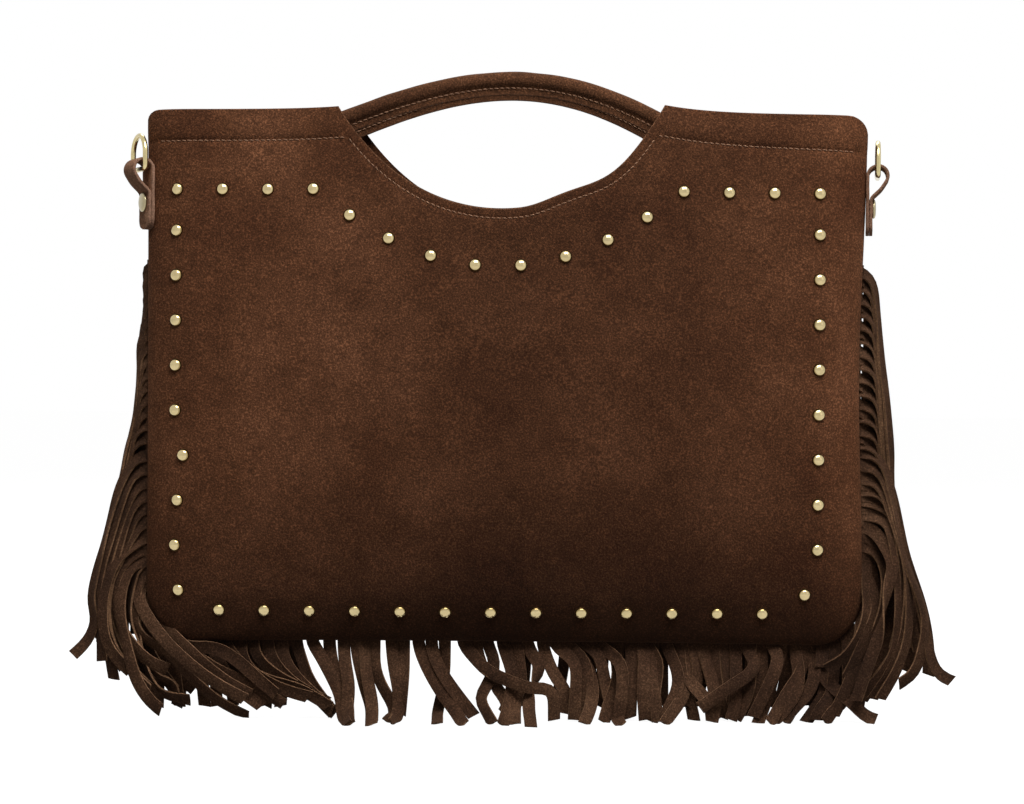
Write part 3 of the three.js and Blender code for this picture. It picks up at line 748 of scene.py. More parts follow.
def inset(wall, outer, depth):
    """The outer grid moved into the bag, square to it, or to the seam at the seam."""
    result = []
    for i, column in enumerate(outer):
        moved = []
        for j, point in enumerate(column):
            at_seam = i in (0, len(outer) - 1) or j == 0
            out = seam_outward(point.x, point.z) if at_seam else wall.normal(point.x, point.z)
            moved.append(point - out * depth)
        result.append(moved)
    return result


def shell(outer, inner, crest):
    """Two grids and a line between their top edges, closed into one skin. The faces beside the
    crest come last, in pairs."""
    columns, rows = len(outer), len(outer[0])
    size = columns * rows
    points = [p for c in outer for p in c] + [p for c in inner for p in c] + list(crest)
    faces = []
    for i in range(columns - 1):
        for j in range(rows - 1):
            a, b = i * rows + j, (i + 1) * rows + j
            faces.append((a, b, b + 1, a + 1))
            faces.append((size + a, size + a + 1, size + b + 1, size + b))
        a, b = i * rows, (i + 1) * rows
        faces.append((a, size + a, size + b, b))
    for j in range(rows - 1):
        faces.append((j, j + 1, size + j + 1, size + j))
        a = (columns - 1) * rows + j
        faces.append((a, size + a, size + a + 1, a + 1))
    end = rows - 1
    last = (columns - 1) * rows + end
    faces.append((end, size + end, 2 * size))
    faces.append((last, 2 * size + columns - 1, size + last))
    plain = len(faces)
    for i in range(columns - 1):
        a, b = i * rows + end, (i + 1) * rows + end
        faces.append((a, b, 2 * size + i + 1, 2 * size + i))
        faces.append((size + a, 2 * size + i, 2 * size + i + 1, size + b))
    return points, faces, plain


skins = {}


def make_panel(name, wall, node):
    border, ear, notch, face = PANEL_STEPS
    columns = column_places(border, ear, notch, wall.shift)
    outer = [
        [wall.point(x, z) for z in row_places(x, border, face, wall.high(x), True)]
        for x in columns
    ]
    inner = inset(wall, outer, SUEDE)
    crest = []
    for x, a, b in zip(columns, outer, inner):
        lift = 0.1 * mm if in_notch(x, wall.shift) else 0.5 * mm
        crest.append((a[-1] + b[-1]) / 2 + Vector((0, 0, lift)))
    points, faces, plain = shell(outer, inner, crest)
    slots = [0] * plain
    rows = len(outer[0])
    for i, (x, following) in enumerate(zip(columns, columns[1:])):
        cut = int(in_notch((x + following) / 2, wall.shift))
        slots += [cut, cut]
        for j in (rows - 2, rows - 3):
            slots[(i * (2 * (rows - 1) + 1)) + 2 * j] = cut
    piece = add_piece(name, points, faces, [suede, suede_cut], slots)
    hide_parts(node)
    skins[wall] = BVHTree.FromPolygons([tuple(p) for p in points], faces)


def on_skin(wall, x, z):
    """The point of a wall's outer surface at x and z."""
    start = Vector((x, wall.seam_y + wall.facing * 80 * mm, z))
    hit = skins[wall].ray_cast(start, Vector((0, -wall.facing, 0)))[0]
    return hit if hit else wall.point(x, z)


make_panel("front_suede", front, "front_panel")
make_panel("rear_suede", rear, "rear_panel")


# Gusset: the strip between the two seams, with its edges turned out beside them

def seam_stations(high, step):
    """Points round the seam from the left end to the right end, with the way out at each."""
    r = BOTTOM_CORNER
    line = [Vector((-half_width, 0, z)) for z in np.arange(high, stand + r, -step)]
    turn_steps = int(math.ceil(r * math.pi / 2 / step))
    run = half_width - r

    def corner(centre_x, first):
        for k in range(turn_steps + 1):
            angle = first + k / turn_steps * math.pi / 2
            x = centre_x + r * math.cos(angle)
            line.append(Vector((x, 0, stand + r + r * math.sin(angle))))

    corner(-run, math.pi)
    count = int(math.ceil(2 * run / step))
    line += [Vector((-run + 2 * run * k / count, 0, stand)) for k in range(1, count)]
    corner(run, 1.5 * math.pi)
    line += [Vector((half_width, 0, z)) for z in reversed(np.arange(high, stand + r, -step))]
    return [p - Vector((side_dent(p.x, p.z), 0, 0)) for p in line]


def make_gusset():
    near_y = front_seam_y + SEAM_GAP + STRAND_THICKNESS + SEAM_GAP
    far_y = rear_seam_y - SEAM_GAP
    high = ear_top(half_width) - GUSSET_TOP_DROP
    sections = []
    for place in seam_stations(high, GUSSET_STEP):
        out = seam_outward(place.x, place.z)
        outer = []
        for k in range(GUSSET_ACROSS + 1):
            t = k / GUSSET_ACROSS
            fold = math.sin(t * math.pi) ** 0.7
            sag = GUSSET_SAG + GUSSET_SAG_CHANGE * wander(place.x, place.z, 50 * mm, 2.0)
            rib = GUSSET_RIB * (groove(t, 0.12) + groove(1 - t, 0.12))
            crease = GUSSET_CREASE * wander(place.x, place.z, 12 * mm, t * 3)
            rise = rib - fold * (sag + crease)
            outer.append(Vector((place.x, near_y + (far_y - near_y) * t, place.z)) + out * rise)
        inner = [p - out * SUEDE for p in reversed(outer)]
        sections.append(outer + inner)
    points, faces, _ = sweep(sections)
    piece = add_piece("gusset_suede", points, faces, [suede])
    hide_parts("gusset")


make_gusset()


# Lining: a cloth pouch inside, open at the top, with its hem below the suede facing

def pouch_columns(depth):
    border, ear, notch, face = LINING_STEPS
    columns = column_places(border, ear, notch)
    result = []
    sides = []
    for wall in (front, rear):
        grid = []
        for x in columns:
            high = min(top_z(x), top_z(x, REAR_NOTCH_SHIFT)) - FACING_DEPTH
            grid.append([wall.smooth(x, z) for z in row_places(x, border, face, high)])
        sides.append(inset(wall, grid, depth))
    for front_column, rear_column in zip(*sides):
        result.append(list(reversed(front_column)) + rear_column)
    return result


def make_lining():
    outer = pouch_columns(SUEDE + LINING_GAP)
    inner = pouch_columns(SUEDE + LINING_GAP + LINING)
    for column in inner + outer:
        middle = len(column) // 2
        for k, p in enumerate(column):
            rise = min(abs(k - middle) / 6, 1)
            inward = 1 if k < middle else -1
            place = Vector((p.x / (22 * mm), inward * 4.0, p.z / (50 * mm)))
            p.y += inward * rise * LINING_RUCK * (1 + noise.noise(place))
    count = len(outer)
    rows = len(outer[0])
    half = rows // 2
    size = count * rows
    points = [p for c in outer for p in c] + [p for c in inner for p in c]
    faces = []
    for i in range(count - 1):
        for j in range(rows - 1):
            a, b = i * rows + j, (i + 1) * rows + j
            faces.append((a, b, b + 1, a + 1))
            faces.append((size + a, size + a + 1, size + b + 1, size + b))
        for j in (0, rows - 1):
            a, b = i * rows + j, (i + 1) * rows + j
            faces.append((a, size + a, size + b, b))
    for start in (0, (count - 1) * rows):
        for j in range(half - 1):
            a, b = start + j, start + rows - 1 - j
            faces.append((a, a + 1, b - 1, b))
            faces.append((size + a, size + b, size + b - 1, size + a + 1))
        a, b = start, start + rows - 1
        faces.append((a, b, size + b, size + a))
    piece = add_piece("lining_pouch", points, faces, [lining_cloth], slot="lining")
    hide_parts("lining")


make_lining()


# Handles

def handle_arch(x, lift=0.0):
    """The height of a handle's middle at a distance from the notch's centre."""
    past = abs(x) - NOTCH_WIDTH / 2
    start = top - HANDLE_DROP - HANDLE_RADIUS
    if past > 0:
        return start - past * math.tan(HANDLE_SLOPE) * 0.5
    t = x / (NOTCH_WIDTH / 2)
    t -= HANDLE_SKEW * (1 - t ** 2)
    rise = handle_top - HANDLE_RADIUS - start
    return start + (rise + lift) * (1 - t ** 2) * (1 - 0.1 * t ** 2)


def handle_section():
    """Side and height of each point round the padded roll and its two stitched layers."""
    half = HANDLE_FLANGE_HALF
    first = math.asin(half / HANDLE_RADIUS) + 12 * degree
    ring = []
    for k in range(HANDLE_ROUND_STEPS + 1):
        angle = first + (2 * math.pi - 2 * first) * k / HANDLE_ROUND_STEPS
        ring.append((HANDLE_RADIUS * math.sin(angle), -HANDLE_RADIUS * math.cos(angle)))
    low = -HANDLE_RADIUS - HANDLE_FLANGE_HEIGHT
    waist = -HANDLE_RADIUS - 0.1 * HANDLE_FLANGE_HEIGHT
    layers = [(-half, waist), (-half * 1.1, low), (-0.1 * mm, low), (0, low + 0.9 * mm),
              (0.1 * mm, low), (half * 1.1, low), (half, waist)]
    return ring + layers


def make_handle(name, node, lift):
    low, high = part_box(node)
    centre_y = (low.y + high.y) / 2
    reach = NOTCH_WIDTH / 2 + HANDLE_TUCK
    section = handle_section()
    sections = []
    seams = ([], [])
    for x in np.linspace(-reach, reach, HANDLE_STEPS):
        slope = (handle_arch(x + 0.5 * mm, lift) - handle_arch(x - 0.5 * mm, lift)) / mm
        along = Vector((1, 0, slope)).normalized()
        up = Vector((-along.z, 0, along.x))
        centre = Vector((NOTCH_CENTRE + x, centre_y, handle_arch(x, lift)))
        ring = []
        for side, height in section:
            swell = 1.0
            if height > -HANDLE_RADIUS:
                place = Vector((x / 0.012, side / 0.004, height / 0.004 + centre_y * 90))
                swell += 0.06 * noise.noise(place)
            else:
                side += 0.35 * mm * noise.noise(Vector((x / 0.009, side / mm, centre_y * 90)))
            ring.append(centre + Vector((0, side * swell, 0)) + up * height * swell)
        sections.append(ring)
        if abs(x) < NOTCH_WIDTH / 2 - 1 * mm:
            height = -HANDLE_RADIUS - HANDLE_FLANGE_HEIGHT * 0.12
            for seam, side in zip(seams, (-1, 1)):
                offset = Vector((0, side * (HANDLE_FLANGE_HALF + 0.2 * mm), 0))
                seam.append(centre + offset + up * height)
    count = len(section)
    raw = {count - 6, count - 5, count - 4, count - 3}
    points, faces, slots = sweep(sections, edge_pairs=raw)
    piece = add_piece(name, points, faces, [handle_suede, suede_cut], slots)
    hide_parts(node)
    for seam, side, label in zip(seams, (-1, 1), ("near", "far")):
        outward = Vector((0, side, 0))
        make_stitches(f"{name}_{label}_stitches", [seam], lambda p, way=outward: way)


# Stitches: one short raised loop of thread for each

def stitch_form(start, end, side):
    """A rice-grain loop of thread from start to end."""
    middle = (start + end) / 2
    along = (end - start).normalized()
    across = along.cross(side).normalized()
    out = across.cross(along).normalized()
    length = (end - start).length / 2
    rings = []
    for k in range(7):
        t = -1 + k / 3
        radius = THREAD_RADIUS * math.sqrt(max(1 - (0.93 * t) ** 2, 0.02))
        centre = middle + along * (length * t) + out * (0.22 * mm * (1 - t * t) - 0.05 * mm)
        rings.append(circle(centre, across, out, radius, 8))
    return sweep(rings)


def make_stitches(name, lines, outward):
    parts = Parts()
    for line in lines:
        walk = smooth_line(line, STITCH_PITCH)
        for a, b in zip(walk, walk[1:]):
            way = b - a
            side = outward(a)
            shrink = way * (0.5 - STITCH_LENGTH / STITCH_PITCH / 2)
            slant = way.cross(side).normalized() * random.uniform(0.1, 0.3) * mm
            parts.add(*stitch_form(a + shrink - slant, b - shrink + slant, side))
    add_piece(name, parts.points, parts.faces, [thread], parts.slots)


make_handle("front_handle_suede", "front_handle", 0.0)
make_handle("rear_handle_suede", "rear_handle", REAR_HANDLE_LIFT)


def hem_line(wall):
    """The thread's way along one hem, round the notch and along the other hem."""
    edge = half_width - 7 * mm
    notch = [p for p in wall.stitches if p.z < hem_z(p.x)]
    left = [Vector((x, 0, hem_z(x))) for x in np.arange(-edge, notch[0].x - 1 * mm, 3 * mm)]
    right = [Vector((x, 0, hem_z(x))) for x in np.arange(notch[-1].x + 2 * mm, edge, 3 * mm)]
    return [[on_skin(wall, p.x, p.z) for p in part] for part in (left, notch, right)]


make_stitches("front_hem_stitches", hem_line(front), lambda p: front.normal(p.x, p.z))
make_stitches("rear_hem_stitches", hem_line(rear), lambda p: rear.normal(p.x, p.z))


# Studs

def lathe(profile, centre, axis, segments):
    """A form turned about an axis: the profile gives (radius, height) from foot to crown."""
    axis = axis.normalized()
    side = axis.orthogonal().normalized()
    other = axis.cross(side)
    sections = []
    for radius, height in profile:
        middle = centre + axis * height
        sections.append(circle(middle, side, other, max(radius, TINY), segments))
    return sweep(sections)


def dome_profile(radius, height):
    foot = radius * 1.03
    profile = [(0, -STUD_SUNK), (foot, -STUD_SUNK), (foot, STUD_BASE * 0.4), (radius, STUD_BASE)]
    rise = height - STUD_BASE
    for k in range(13):
        angle = k / 12 * 90 * degree
        profile.append((radius * 0.98 * math.cos(angle), STUD_BASE + rise * math.sin(angle)))
    return profile


# Bands of tone on a dome, painted shade on the foot and painted reflection of the dark suede
# on the rim and side: the ring of faces that each ends at, from the foot up, and its metal
STUD_METALS = (brass, painted_shade_brass, painted_rim_reflection_brass, painted_side_reflection_brass)
STUD_PAINTED_BANDS = ((4, 1), (7, 2), (9, 3))


def make_studs():
    """Domes on a foot ring painted dark as shade, which presses into the suede, with painted
    reflection darkening the dome's rim and side.
    """
    for name, place in zip(stud_nodes, stud_places):
        foot = on_skin(front, place.x, place.z)
        profile = dome_profile(STUD_DIAMETER / 2, STUD_HEIGHT)
        normal = front.normal(place.x, place.z)
        points, faces, slots = lathe(profile, foot, normal, STUD_SEGMENTS)
        start = 0
        for rings, metal in STUD_PAINTED_BANDS:
            end = rings * STUD_SEGMENTS
            slots[start:end] = [metal] * (end - start)
            start = end
        dome = name.replace("stud", "dome")
        piece = add_piece(dome, points, faces, STUD_METALS, slots, 40, slot="brass")
        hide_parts(name)


make_studs()


# Tabs, rings and rivets. Each stands about the bar of its ring, which is the joint's axis.

class TabFrame:
    """A tab's own directions: out from the bag, along its width, and up."""

    def __init__(self, joint, tab_node):
        self.pivot = Vector(joint["pos_m"])
        self.width = Vector(joint["axis"]).normalized()
        self.out = self.width.cross(Vector((0, 0, 1))).normalized()
        self.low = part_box(tab_node)[0].z

    def at(self, out, width, z):
        """A point by its distance from the face that lies on the bag, and its height."""
        foot = self.pivot - self.out * TAB_LOOP_RADIUS + self.out * out + self.width * width
        return Vector((foot.x, foot.y, self.low + z))


def rounded_strip(half_wide, half_thick, soft):
    """A strip's section as (across, thick), with softened corners."""
    return [
        (-half_wide + soft, -half_thick), (half_wide - soft, -half_thick),
        (half_wide, -half_thick + soft), (half_wide, half_thick - soft),
        (half_wide - soft, half_thick), (-half_wide + soft, half_thick),
        (-half_wide, half_thick - soft), (-half_wide, -half_thick + soft),
    ]


def make_tab(side, tab):
    half_layer = TAB_SHOWN_LAYER / 2
    ring_z = tab.pivot.z - tab.low
    radius = TAB_LOOP_RADIUS - half_layer
    line = [(half_layer, z) for z in np.linspace(0, ring_z - TAB_LOOP_START, 12)]
    for angle in np.linspace(180, TAB_LOOP_END, 22) * degree:
        line.append((TAB_LOOP_RADIUS + radius * math.cos(angle), ring_z + radius * math.sin(angle)))
    end_out, end_z = line[-1]
    outer = half_layer + TAB_SHOWN_LAYER + 0.1 * mm
    upper, middle, lower = (end_z - drop for drop in TAB_NECK_DROPS)
    line.append((end_out * (1 - TAB_NECK_SHARE) + outer * TAB_NECK_SHARE, upper))
    line.append((outer + 0.4 * mm, middle))
    line += [(outer, z) for z in np.linspace(lower, 0, 10)]
    walk = smooth_line([tab.at(o, 0, z) for o, z in line], 1.1 * mm)
    ways = tangents(walk)
    lengths = [0.0]
    for a, b in zip(walk, walk[1:]):
        lengths.append(lengths[-1] + (b - a).length)
    sections = []
    for place, way, run in zip(walk, ways, lengths):
        from_end = min(run, lengths[-1] - run)
        cut = max(TAB_END_RADIUS - from_end, 0)
        half = TAB_WIDTH / 2 - (TAB_END_RADIUS - math.sqrt(TAB_END_RADIUS ** 2 - cut ** 2))
        normal = way.cross(tab.width).normalized()
        waver = 0.15 * mm * noise.noise(Vector((run / 0.006, half / 0.01, 3.0)))
        sections.append([
            place + tab.width * across + normal * (thick + waver)
            for across, thick in rounded_strip(half, half_layer, TAB_EDGE_SOFT)
        ])
    points, faces, slots = sweep(sections, edge_pairs={1, 2, 3, 5, 6, 7}, cap_slot=1)
    piece = add_piece(f"tab_{side}_suede", points, faces, [tab_suede, tab_cut], slots, slot="tab")
    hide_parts(f"tab_{side}")


def make_ring(side, tab):
    half = TAB_WIDTH / 2 + RING_SIDE_GAP + RING_WIRE / 2
    low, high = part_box(f"d_ring_{side}")
    rise = high.z - low.z - RING_WIRE
    shoulder = max(rise - half, RING_BEND)
    bar = [(w, 0) for w in np.linspace(RING_BEND - half, half - RING_BEND, 14)]
    bend = [(half - RING_BEND * (1 - math.sin(a)), RING_BEND * (1 - math.cos(a)))
            for a in np.linspace(20, 90, 5) * degree]
    arch = [(half * math.cos(a), shoulder + (rise - shoulder) * math.sin(a))
            for a in np.linspace(4, 176, 40) * degree]
    outline = bar + bend + arch + [(-w, z) for w, z in reversed(bend)]
    centres = [tab.pivot + tab.width * w + Vector((0, 0, z)) for w, z in outline]
    count = len(centres)
    sections = []
    for i, centre in enumerate(centres):
        way = (centres[(i + 1) % count] - centres[i - 1]).normalized()
        flat = tab.out.cross(way).normalized()
        sections.append(circle(centre, tab.out, flat, RING_WIRE / 2, RING_SEGMENTS))
    points, faces, _ = sweep(sections, closed=True)
    piece = add_piece(
        f"ring_{side}_wire", points, faces, [ring_brass], body=f"ring_{side}", slot="brass"
    )
    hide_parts(f"d_ring_{side}")


def make_rivet(side, tab):
    radius = RIVET_DIAMETER / 2
    profile = [(0, -0.4 * mm), (radius - 0.3 * mm, -0.4 * mm), (radius, 0.2 * mm), (radius, 0.6 * mm),
               (radius - 0.25 * mm, 1.0 * mm), (radius - 0.9 * mm, RIVET_HEIGHT - 0.15 * mm)]
    profile += [(radius * s, RIVET_HEIGHT + 0.25 * mm * (1 - s)) for s in (0.6, 0.3, 0)]
    foot = tab.at(2 * TAB_SHOWN_LAYER + SEAM_GAP, 0, RIVET_ABOVE_END)
    form = lathe(profile, foot, tab.out, 36)
    piece = add_piece(f"rivet_{side}_cap", *form[:2], [rivet_brass], sharp=35, slot="brass")
    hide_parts(f"rivet_{side}")


joints = {joint["child"]: joint for joint in frame["joints"]}
for side in ("left", "right"):
    tab_frame = TabFrame(joints[f"ring_{side}"], f"tab_{side}")
    make_tab(side, tab_frame)
    make_ring(side, tab_frame)
    make_rivet(side, tab_frame)


# Fringe

band_y = front_seam_y + SEAM_GAP + STRAND_THICKNESS / 2
ground = STRAND_THICKNESS / 2

# Where the outermost strands show beside the bag: pixel row, and millimetres out from the seam
LEFT_SILHOUETTE = (
    (262, 1), (273, 3.5), (323, 3.7), (336, 7), (384, 8.3), (423, 9.9), (441, 13), (490, 18.4),
    (520, 20.5), (560, 25), (600, 29), (700, 30),
)
RIGHT_SILHOUETTE = (
    (262, 1), (274, 6.8), (317, 10.6), (352, 11.4), (400, 14.9), (447, 17), (489, 17.6),
    (560, 23), (640, 32), (700, 38),
)
LEFT_INNER_SHARE = 0.75
RIGHT_INNER_SHARE = 0.55

# The lower strands: millimetres that each comes forward of the seam, degrees that its face turns
# outward, and its way from root to end as pixels of the photograph
LEFT_STRANDS = (
    (4, 60, (146, 455), (132, 463), (118, 490), (103, 545), (91, 596), (95, 620), (88, 640), (73, 655)),
    (5, 60, (146, 469), (133, 477), (121, 505), (102, 570), (98, 604), (101, 636), (102, 661)),
    (3, 55, (146, 482), (134, 490), (123, 515), (107, 575), (103, 610), (108, 645), (114, 679)),
    (6, 55, (146, 495), (135, 503), (125, 525), (110, 585), (107, 615),
     (113, 646), (128, 668), (150, 690)),
    (2, 55, (146, 508), (136, 515), (127, 538), (112, 590), (109, 618),
     (118, 648), (136, 674), (160, 696)),
    (7, 50, (146, 522), (136, 529), (117, 566), (108, 590), (105, 620), (112, 648), (124, 668)),
    (11, 40, (145, 536), (138, 543), (122, 553), (110, 573), (103, 604),
     (105, 638), (117, 659), (130, 671)),
    (6, 35, (145, 549), (133, 555), (120, 568), (114, 594), (121, 627), (147, 660), (168, 669)),
    (15, 30, (145, 561), (130, 568), (122, 588), (120, 613), (127, 646),
     (136, 679), (150, 701), (161, 710)),
    (8, 40, (145, 575), (137, 590), (136, 629), (166, 652), (190, 676), (216, 699), (249, 717)),
    (3, 70, (146, 560), (134, 580), (131, 620), (155, 674), (173, 681), (176, 694)),
    (3, 70, (146, 583), (140, 600), (140, 640), (156, 689), (190, 700)),
    (17, 15, (146, 588), (138, 598), (150, 621), (170, 646), (199, 671), (226, 689), (245, 699)),
    (13, 20, (147, 600), (157, 613), (171, 633), (187, 648), (205, 665), (230, 684), (251, 695)),
    (15, 15, (168, 628), (186, 646), (216, 648), (238, 661), (258, 679), (276, 694)),
    (12, 25, (180, 636), (193, 652), (213, 667), (233, 677), (259, 689), (284, 704)),
    (14, 15, (224, 641), (238, 661), (258, 676), (282, 689), (309, 697)),
    (12, 25, (241, 641), (243, 659), (258, 676), (299, 689), (329, 706)),
    (10, 30, (253, 641), (259, 659), (279, 677), (296, 686)),
    (9, 15, (267, 641), (272, 659), (287, 677), (302, 689), (327, 702)),
    (9, 20, (281, 641), (284, 659), (296, 677), (316, 696), (332, 712)),
    (8, 20, (296, 639), (302, 659), (309, 679), (324, 701), (335, 714)),
)
RIGHT_STRANDS = (
    (4, 60, (863, 452), (880, 460), (889, 480), (902, 545), (921, 610),
     (932, 662), (942, 677), (952, 681)),
    (6, 60, (863, 465), (879, 472), (889, 495), (905, 560), (922, 605),
     (925, 630), (916, 670), (899, 684)),
    (8, 55, (863, 478), (879, 485), (888, 505), (906, 566), (909, 622),
     (905, 648), (896, 672), (880, 699)),
    (7, 55, (863, 490), (877, 492), (889, 505), (905, 560), (906, 620),
     (899, 650), (888, 675), (872, 699)),
    (5, 50, (863, 500), (881, 507), (894, 517), (903, 575), (902, 630), (893, 655), (862, 700)),
    (9, 45, (862, 514), (878, 518), (889, 526), (898, 575), (898, 635), (888, 665), (857, 702)),
    (16, 150, (864, 526), (878, 535), (893, 563), (889, 583), (879, 634), (869, 662), (856, 701)),
    (3, 50, (862, 545), (876, 552), (884, 570), (884, 600), (876, 630), (850, 690)),
    (10, 35, (863, 560), (866, 587), (868, 604), (863, 629), (846, 656), (826, 669)),
    (8, 40, (862, 575), (876, 606), (868, 629), (856, 659), (846, 679)),
    (6, 35, (861, 592), (868, 622), (862, 650), (850, 682), (842, 704)),
    (9, 20, (855, 612), (860, 632), (856, 660), (846, 690), (833, 716)),
    (5, 10, (823, 641), (822, 655), (821, 667)),
    (12, 25, (808, 641), (826, 681), (848, 699), (866, 717), (876, 720)),
    (9, 20, (843, 630), (848, 672), (846, 700), (833, 710), (825, 723)),
)
BOTTOM_STRANDS = (
    (12, 10, (210, 641), (222, 668), (240, 690), (262, 706)),
    (12, 10, (312, 639), (321, 656), (340, 694), (342, 712), (347, 725)),
    (9, -15, (329, 639), (332, 662), (339, 682), (347, 701), (349, 725)),
    (13, 20, (344, 639), (345, 662), (349, 687), (347, 712), (349, 727)),
    (10, -10, (356, 639), (359, 662), (366, 690), (371, 705), (371, 726)),
    (14, 30, (365, 639), (366, 671), (372, 702), (372, 722)),
    (8, -25, (375, 639), (375, 667), (382, 686), (395, 710), (387, 722)),
    (12, 10, (391, 639), (394, 667), (399, 692), (398, 714), (391, 724)),
    (10, -20, (404, 639), (404, 667), (402, 692), (400, 714)),
    (14, 15, (418, 639), (425, 663), (440, 690), (454, 710), (464, 725)),
    (11, 25, (431, 639), (433, 653), (442, 673), (458, 696), (474, 716)),
    (4, -40, (445, 639), (445, 667), (442, 692), (438, 710), (437, 724)),
    (16, 5, (462, 641), (476, 659), (491, 673), (529, 688), (552, 690), (554, 720)),
    (13, 180, (476, 641), (482, 667), (503, 696), (509, 706), (503, 714)),
    (10, -30, (487, 641), (495, 663), (487, 686), (480, 698), (493, 724)),
    (12, 15, (503, 641), (509, 661), (513, 678), (509, 703), (503, 725)),
    (9, -15, (517, 641), (519, 661), (521, 682), (515, 702), (515, 724)),
    (13, 180, (527, 641), (535, 659), (540, 667), (529, 698), (531, 727)),
    (11, 10, (542, 641), (548, 661), (556, 678), (566, 692), (566, 714)),
    (14, 20, (554, 641), (568, 655), (576, 665), (576, 686), (574, 720)),
    (9, -25, (566, 641), (580, 655), (587, 669), (587, 688), (580, 720)),
    (12, 15, (576, 641), (587, 667), (593, 686), (591, 706), (584, 724)),
    (10, 25, (584, 641), (599, 655), (607, 692), (615, 714), (621, 725)),
    (13, -10, (597, 641), (613, 655), (621, 665), (623, 682), (618, 722)),
    (7, 30, (612, 641), (618, 672), (610, 700), (604, 722)),
    (11, -5, (631, 641), (632, 671), (631, 698), (630, 718)),
    (14, 20, (642, 641), (644, 661), (643, 692), (645, 720)),
    (9, -30, (646, 641), (658, 661), (655, 690), (652, 722)),
    (12, 15, (654, 641), (650, 667), (654, 692), (658, 722)),
    (10, -15, (666, 641), (676, 667), (678, 688), (662, 722)),
    (13, 20, (672, 641), (688, 679), (709, 703), (712, 722)),
    (6, -35, (679, 641), (682, 672), (690, 700), (694, 720)),
    (11, 10, (685, 641), (685, 690), (664, 724)),
    (6, 30, (693, 641), (698, 675), (690, 708)),
    (13, 15, (701, 641), (715, 695), (712, 722)),
    (7, -25, (714, 641), (716, 678), (724, 716)),
    (6, 25, (724, 641), (728, 680), (722, 718)),
    (12, 10, (736, 641), (736, 695), (731, 720)),
    (16, 0, (745, 641), (755, 668), (725, 690), (700, 708)),
    (8, -30, (750, 641), (750, 687), (736, 719)),
    (6, 20, (760, 641), (762, 680), (750, 716)),
    (15, 5, (771, 641), (778, 656), (773, 676), (753, 717)),
    (10, 25, (784, 641), (770, 690), (758, 723)),
    (12, -20, (795, 641), (798, 687), (774, 723)),
    (9, 15, (806, 641), (801, 671), (788, 691), (770, 724)),
    (13, 10, (813, 641), (813, 684), (788, 714), (785, 723)),
    (8, -25, (826, 641), (826, 689), (815, 709), (806, 722)),
    (11, 15, (834, 637), (831, 694), (821, 707), (816, 720)),
)


# Roots, as pixel columns, of strands that hang behind the others and close the gaps between
# them, and the pixel rows of their roots, middles and tips
BACK_ROOTS = (
    160, 174, 188, 200, 214, 228, 242, 256, 270, 284, 512, 526, 566, 590, 604, 622, 636, 662, 690,
    706, 720, 732, 744, 758, 772, 790, 806, 820, 834, 848, 858, 864,
)
BACK_ROWS = (641, 672, 706)

# Neighbours whose roots are closer than this, in pixels, get a strand behind and between them
BACKING_REACH = 22


def seen_resting(px, py, y):
    """As seen(), but a point below the ground comes forward along its ray to the ground."""
    place = seen(px, py, y)
    if place.z < ground:
        eye = camera.matrix_world.translation
        place = eye + (place - eye) * ((ground - eye.z) / (place.z - eye.z))
        place.y = max(place.y, panel_low.y - TIP_REACH)
        place.z = ground
    return place


def strand_form(line, turns, side):
    """A flat cut strip along a line. turns gives how far its face has turned from the front to
    the outside, in degrees, at lengths from the root."""
    walk = smooth_line(line, STRAND_STEP)
    for _ in range(2):
        walk[1:-1] = [(a + b * 2 + c) / 4 for a, b, c in zip(walk, walk[1:], walk[2:])]
    seed = random.uniform(0, 90)
    cup = random.choice((-1, 1)) * random.uniform(0.25, 0.6) * mm
    slant = random.uniform(-1.4, 1.4) * mm
    run = 0.0
    sections = []
    for place, way, following in zip(walk, tangents(walk), walk[1:] + walk[-1:]):
        angle = np.interp(run, [r for r, _ in turns], [a for _, a in turns]) * degree
        angle += 0.3 * noise.noise(Vector((run / (35 * mm), seed, 0)))
        outward = Vector((-way.z * side, 0, way.x * side))
        normal = Vector((0, -1, 0)) * math.cos(angle) + outward * math.sin(angle)
        normal = (normal - way * normal.dot(way)).normalized()
        across = way.cross(normal)
        wide = STRAND_WIDTH / 2 * (1 + 0.07 * noise.noise(Vector((run / (25 * mm), seed, 7))))
        ring = []
        for face, steps in ((1, (-1, -0.5, 0, 0.5, 1)), (-1, (1, 0.5, 0, -0.5, -1))):
            for a in steps:
                height = cup * (1 - a * a) + face * STRAND_THICKNESS / 2
                past_end = way * slant * a if following is walk[-1] else Vector()
                point = place + across * wide * a + normal * height + past_end
                point.z = max(point.z, FLOOR_GAP)
                ring.append(point)
        sections.append(ring)
        run += (following - place).length
    return sweep(sections, edge_pairs={4, 9}, cap_slot=1)


def silhouette_out(side, z):
    rows, outs = zip(*(LEFT_SILHOUETTE if side < 0 else RIGHT_SILHOUETTE))
    eye = camera.matrix_world.translation
    row = IMAGE_HEIGHT / 2 + (eye.z - z) * FOCAL_PIXELS / (band_y - eye.y)
    return float(np.interp(row, rows, outs)) * mm


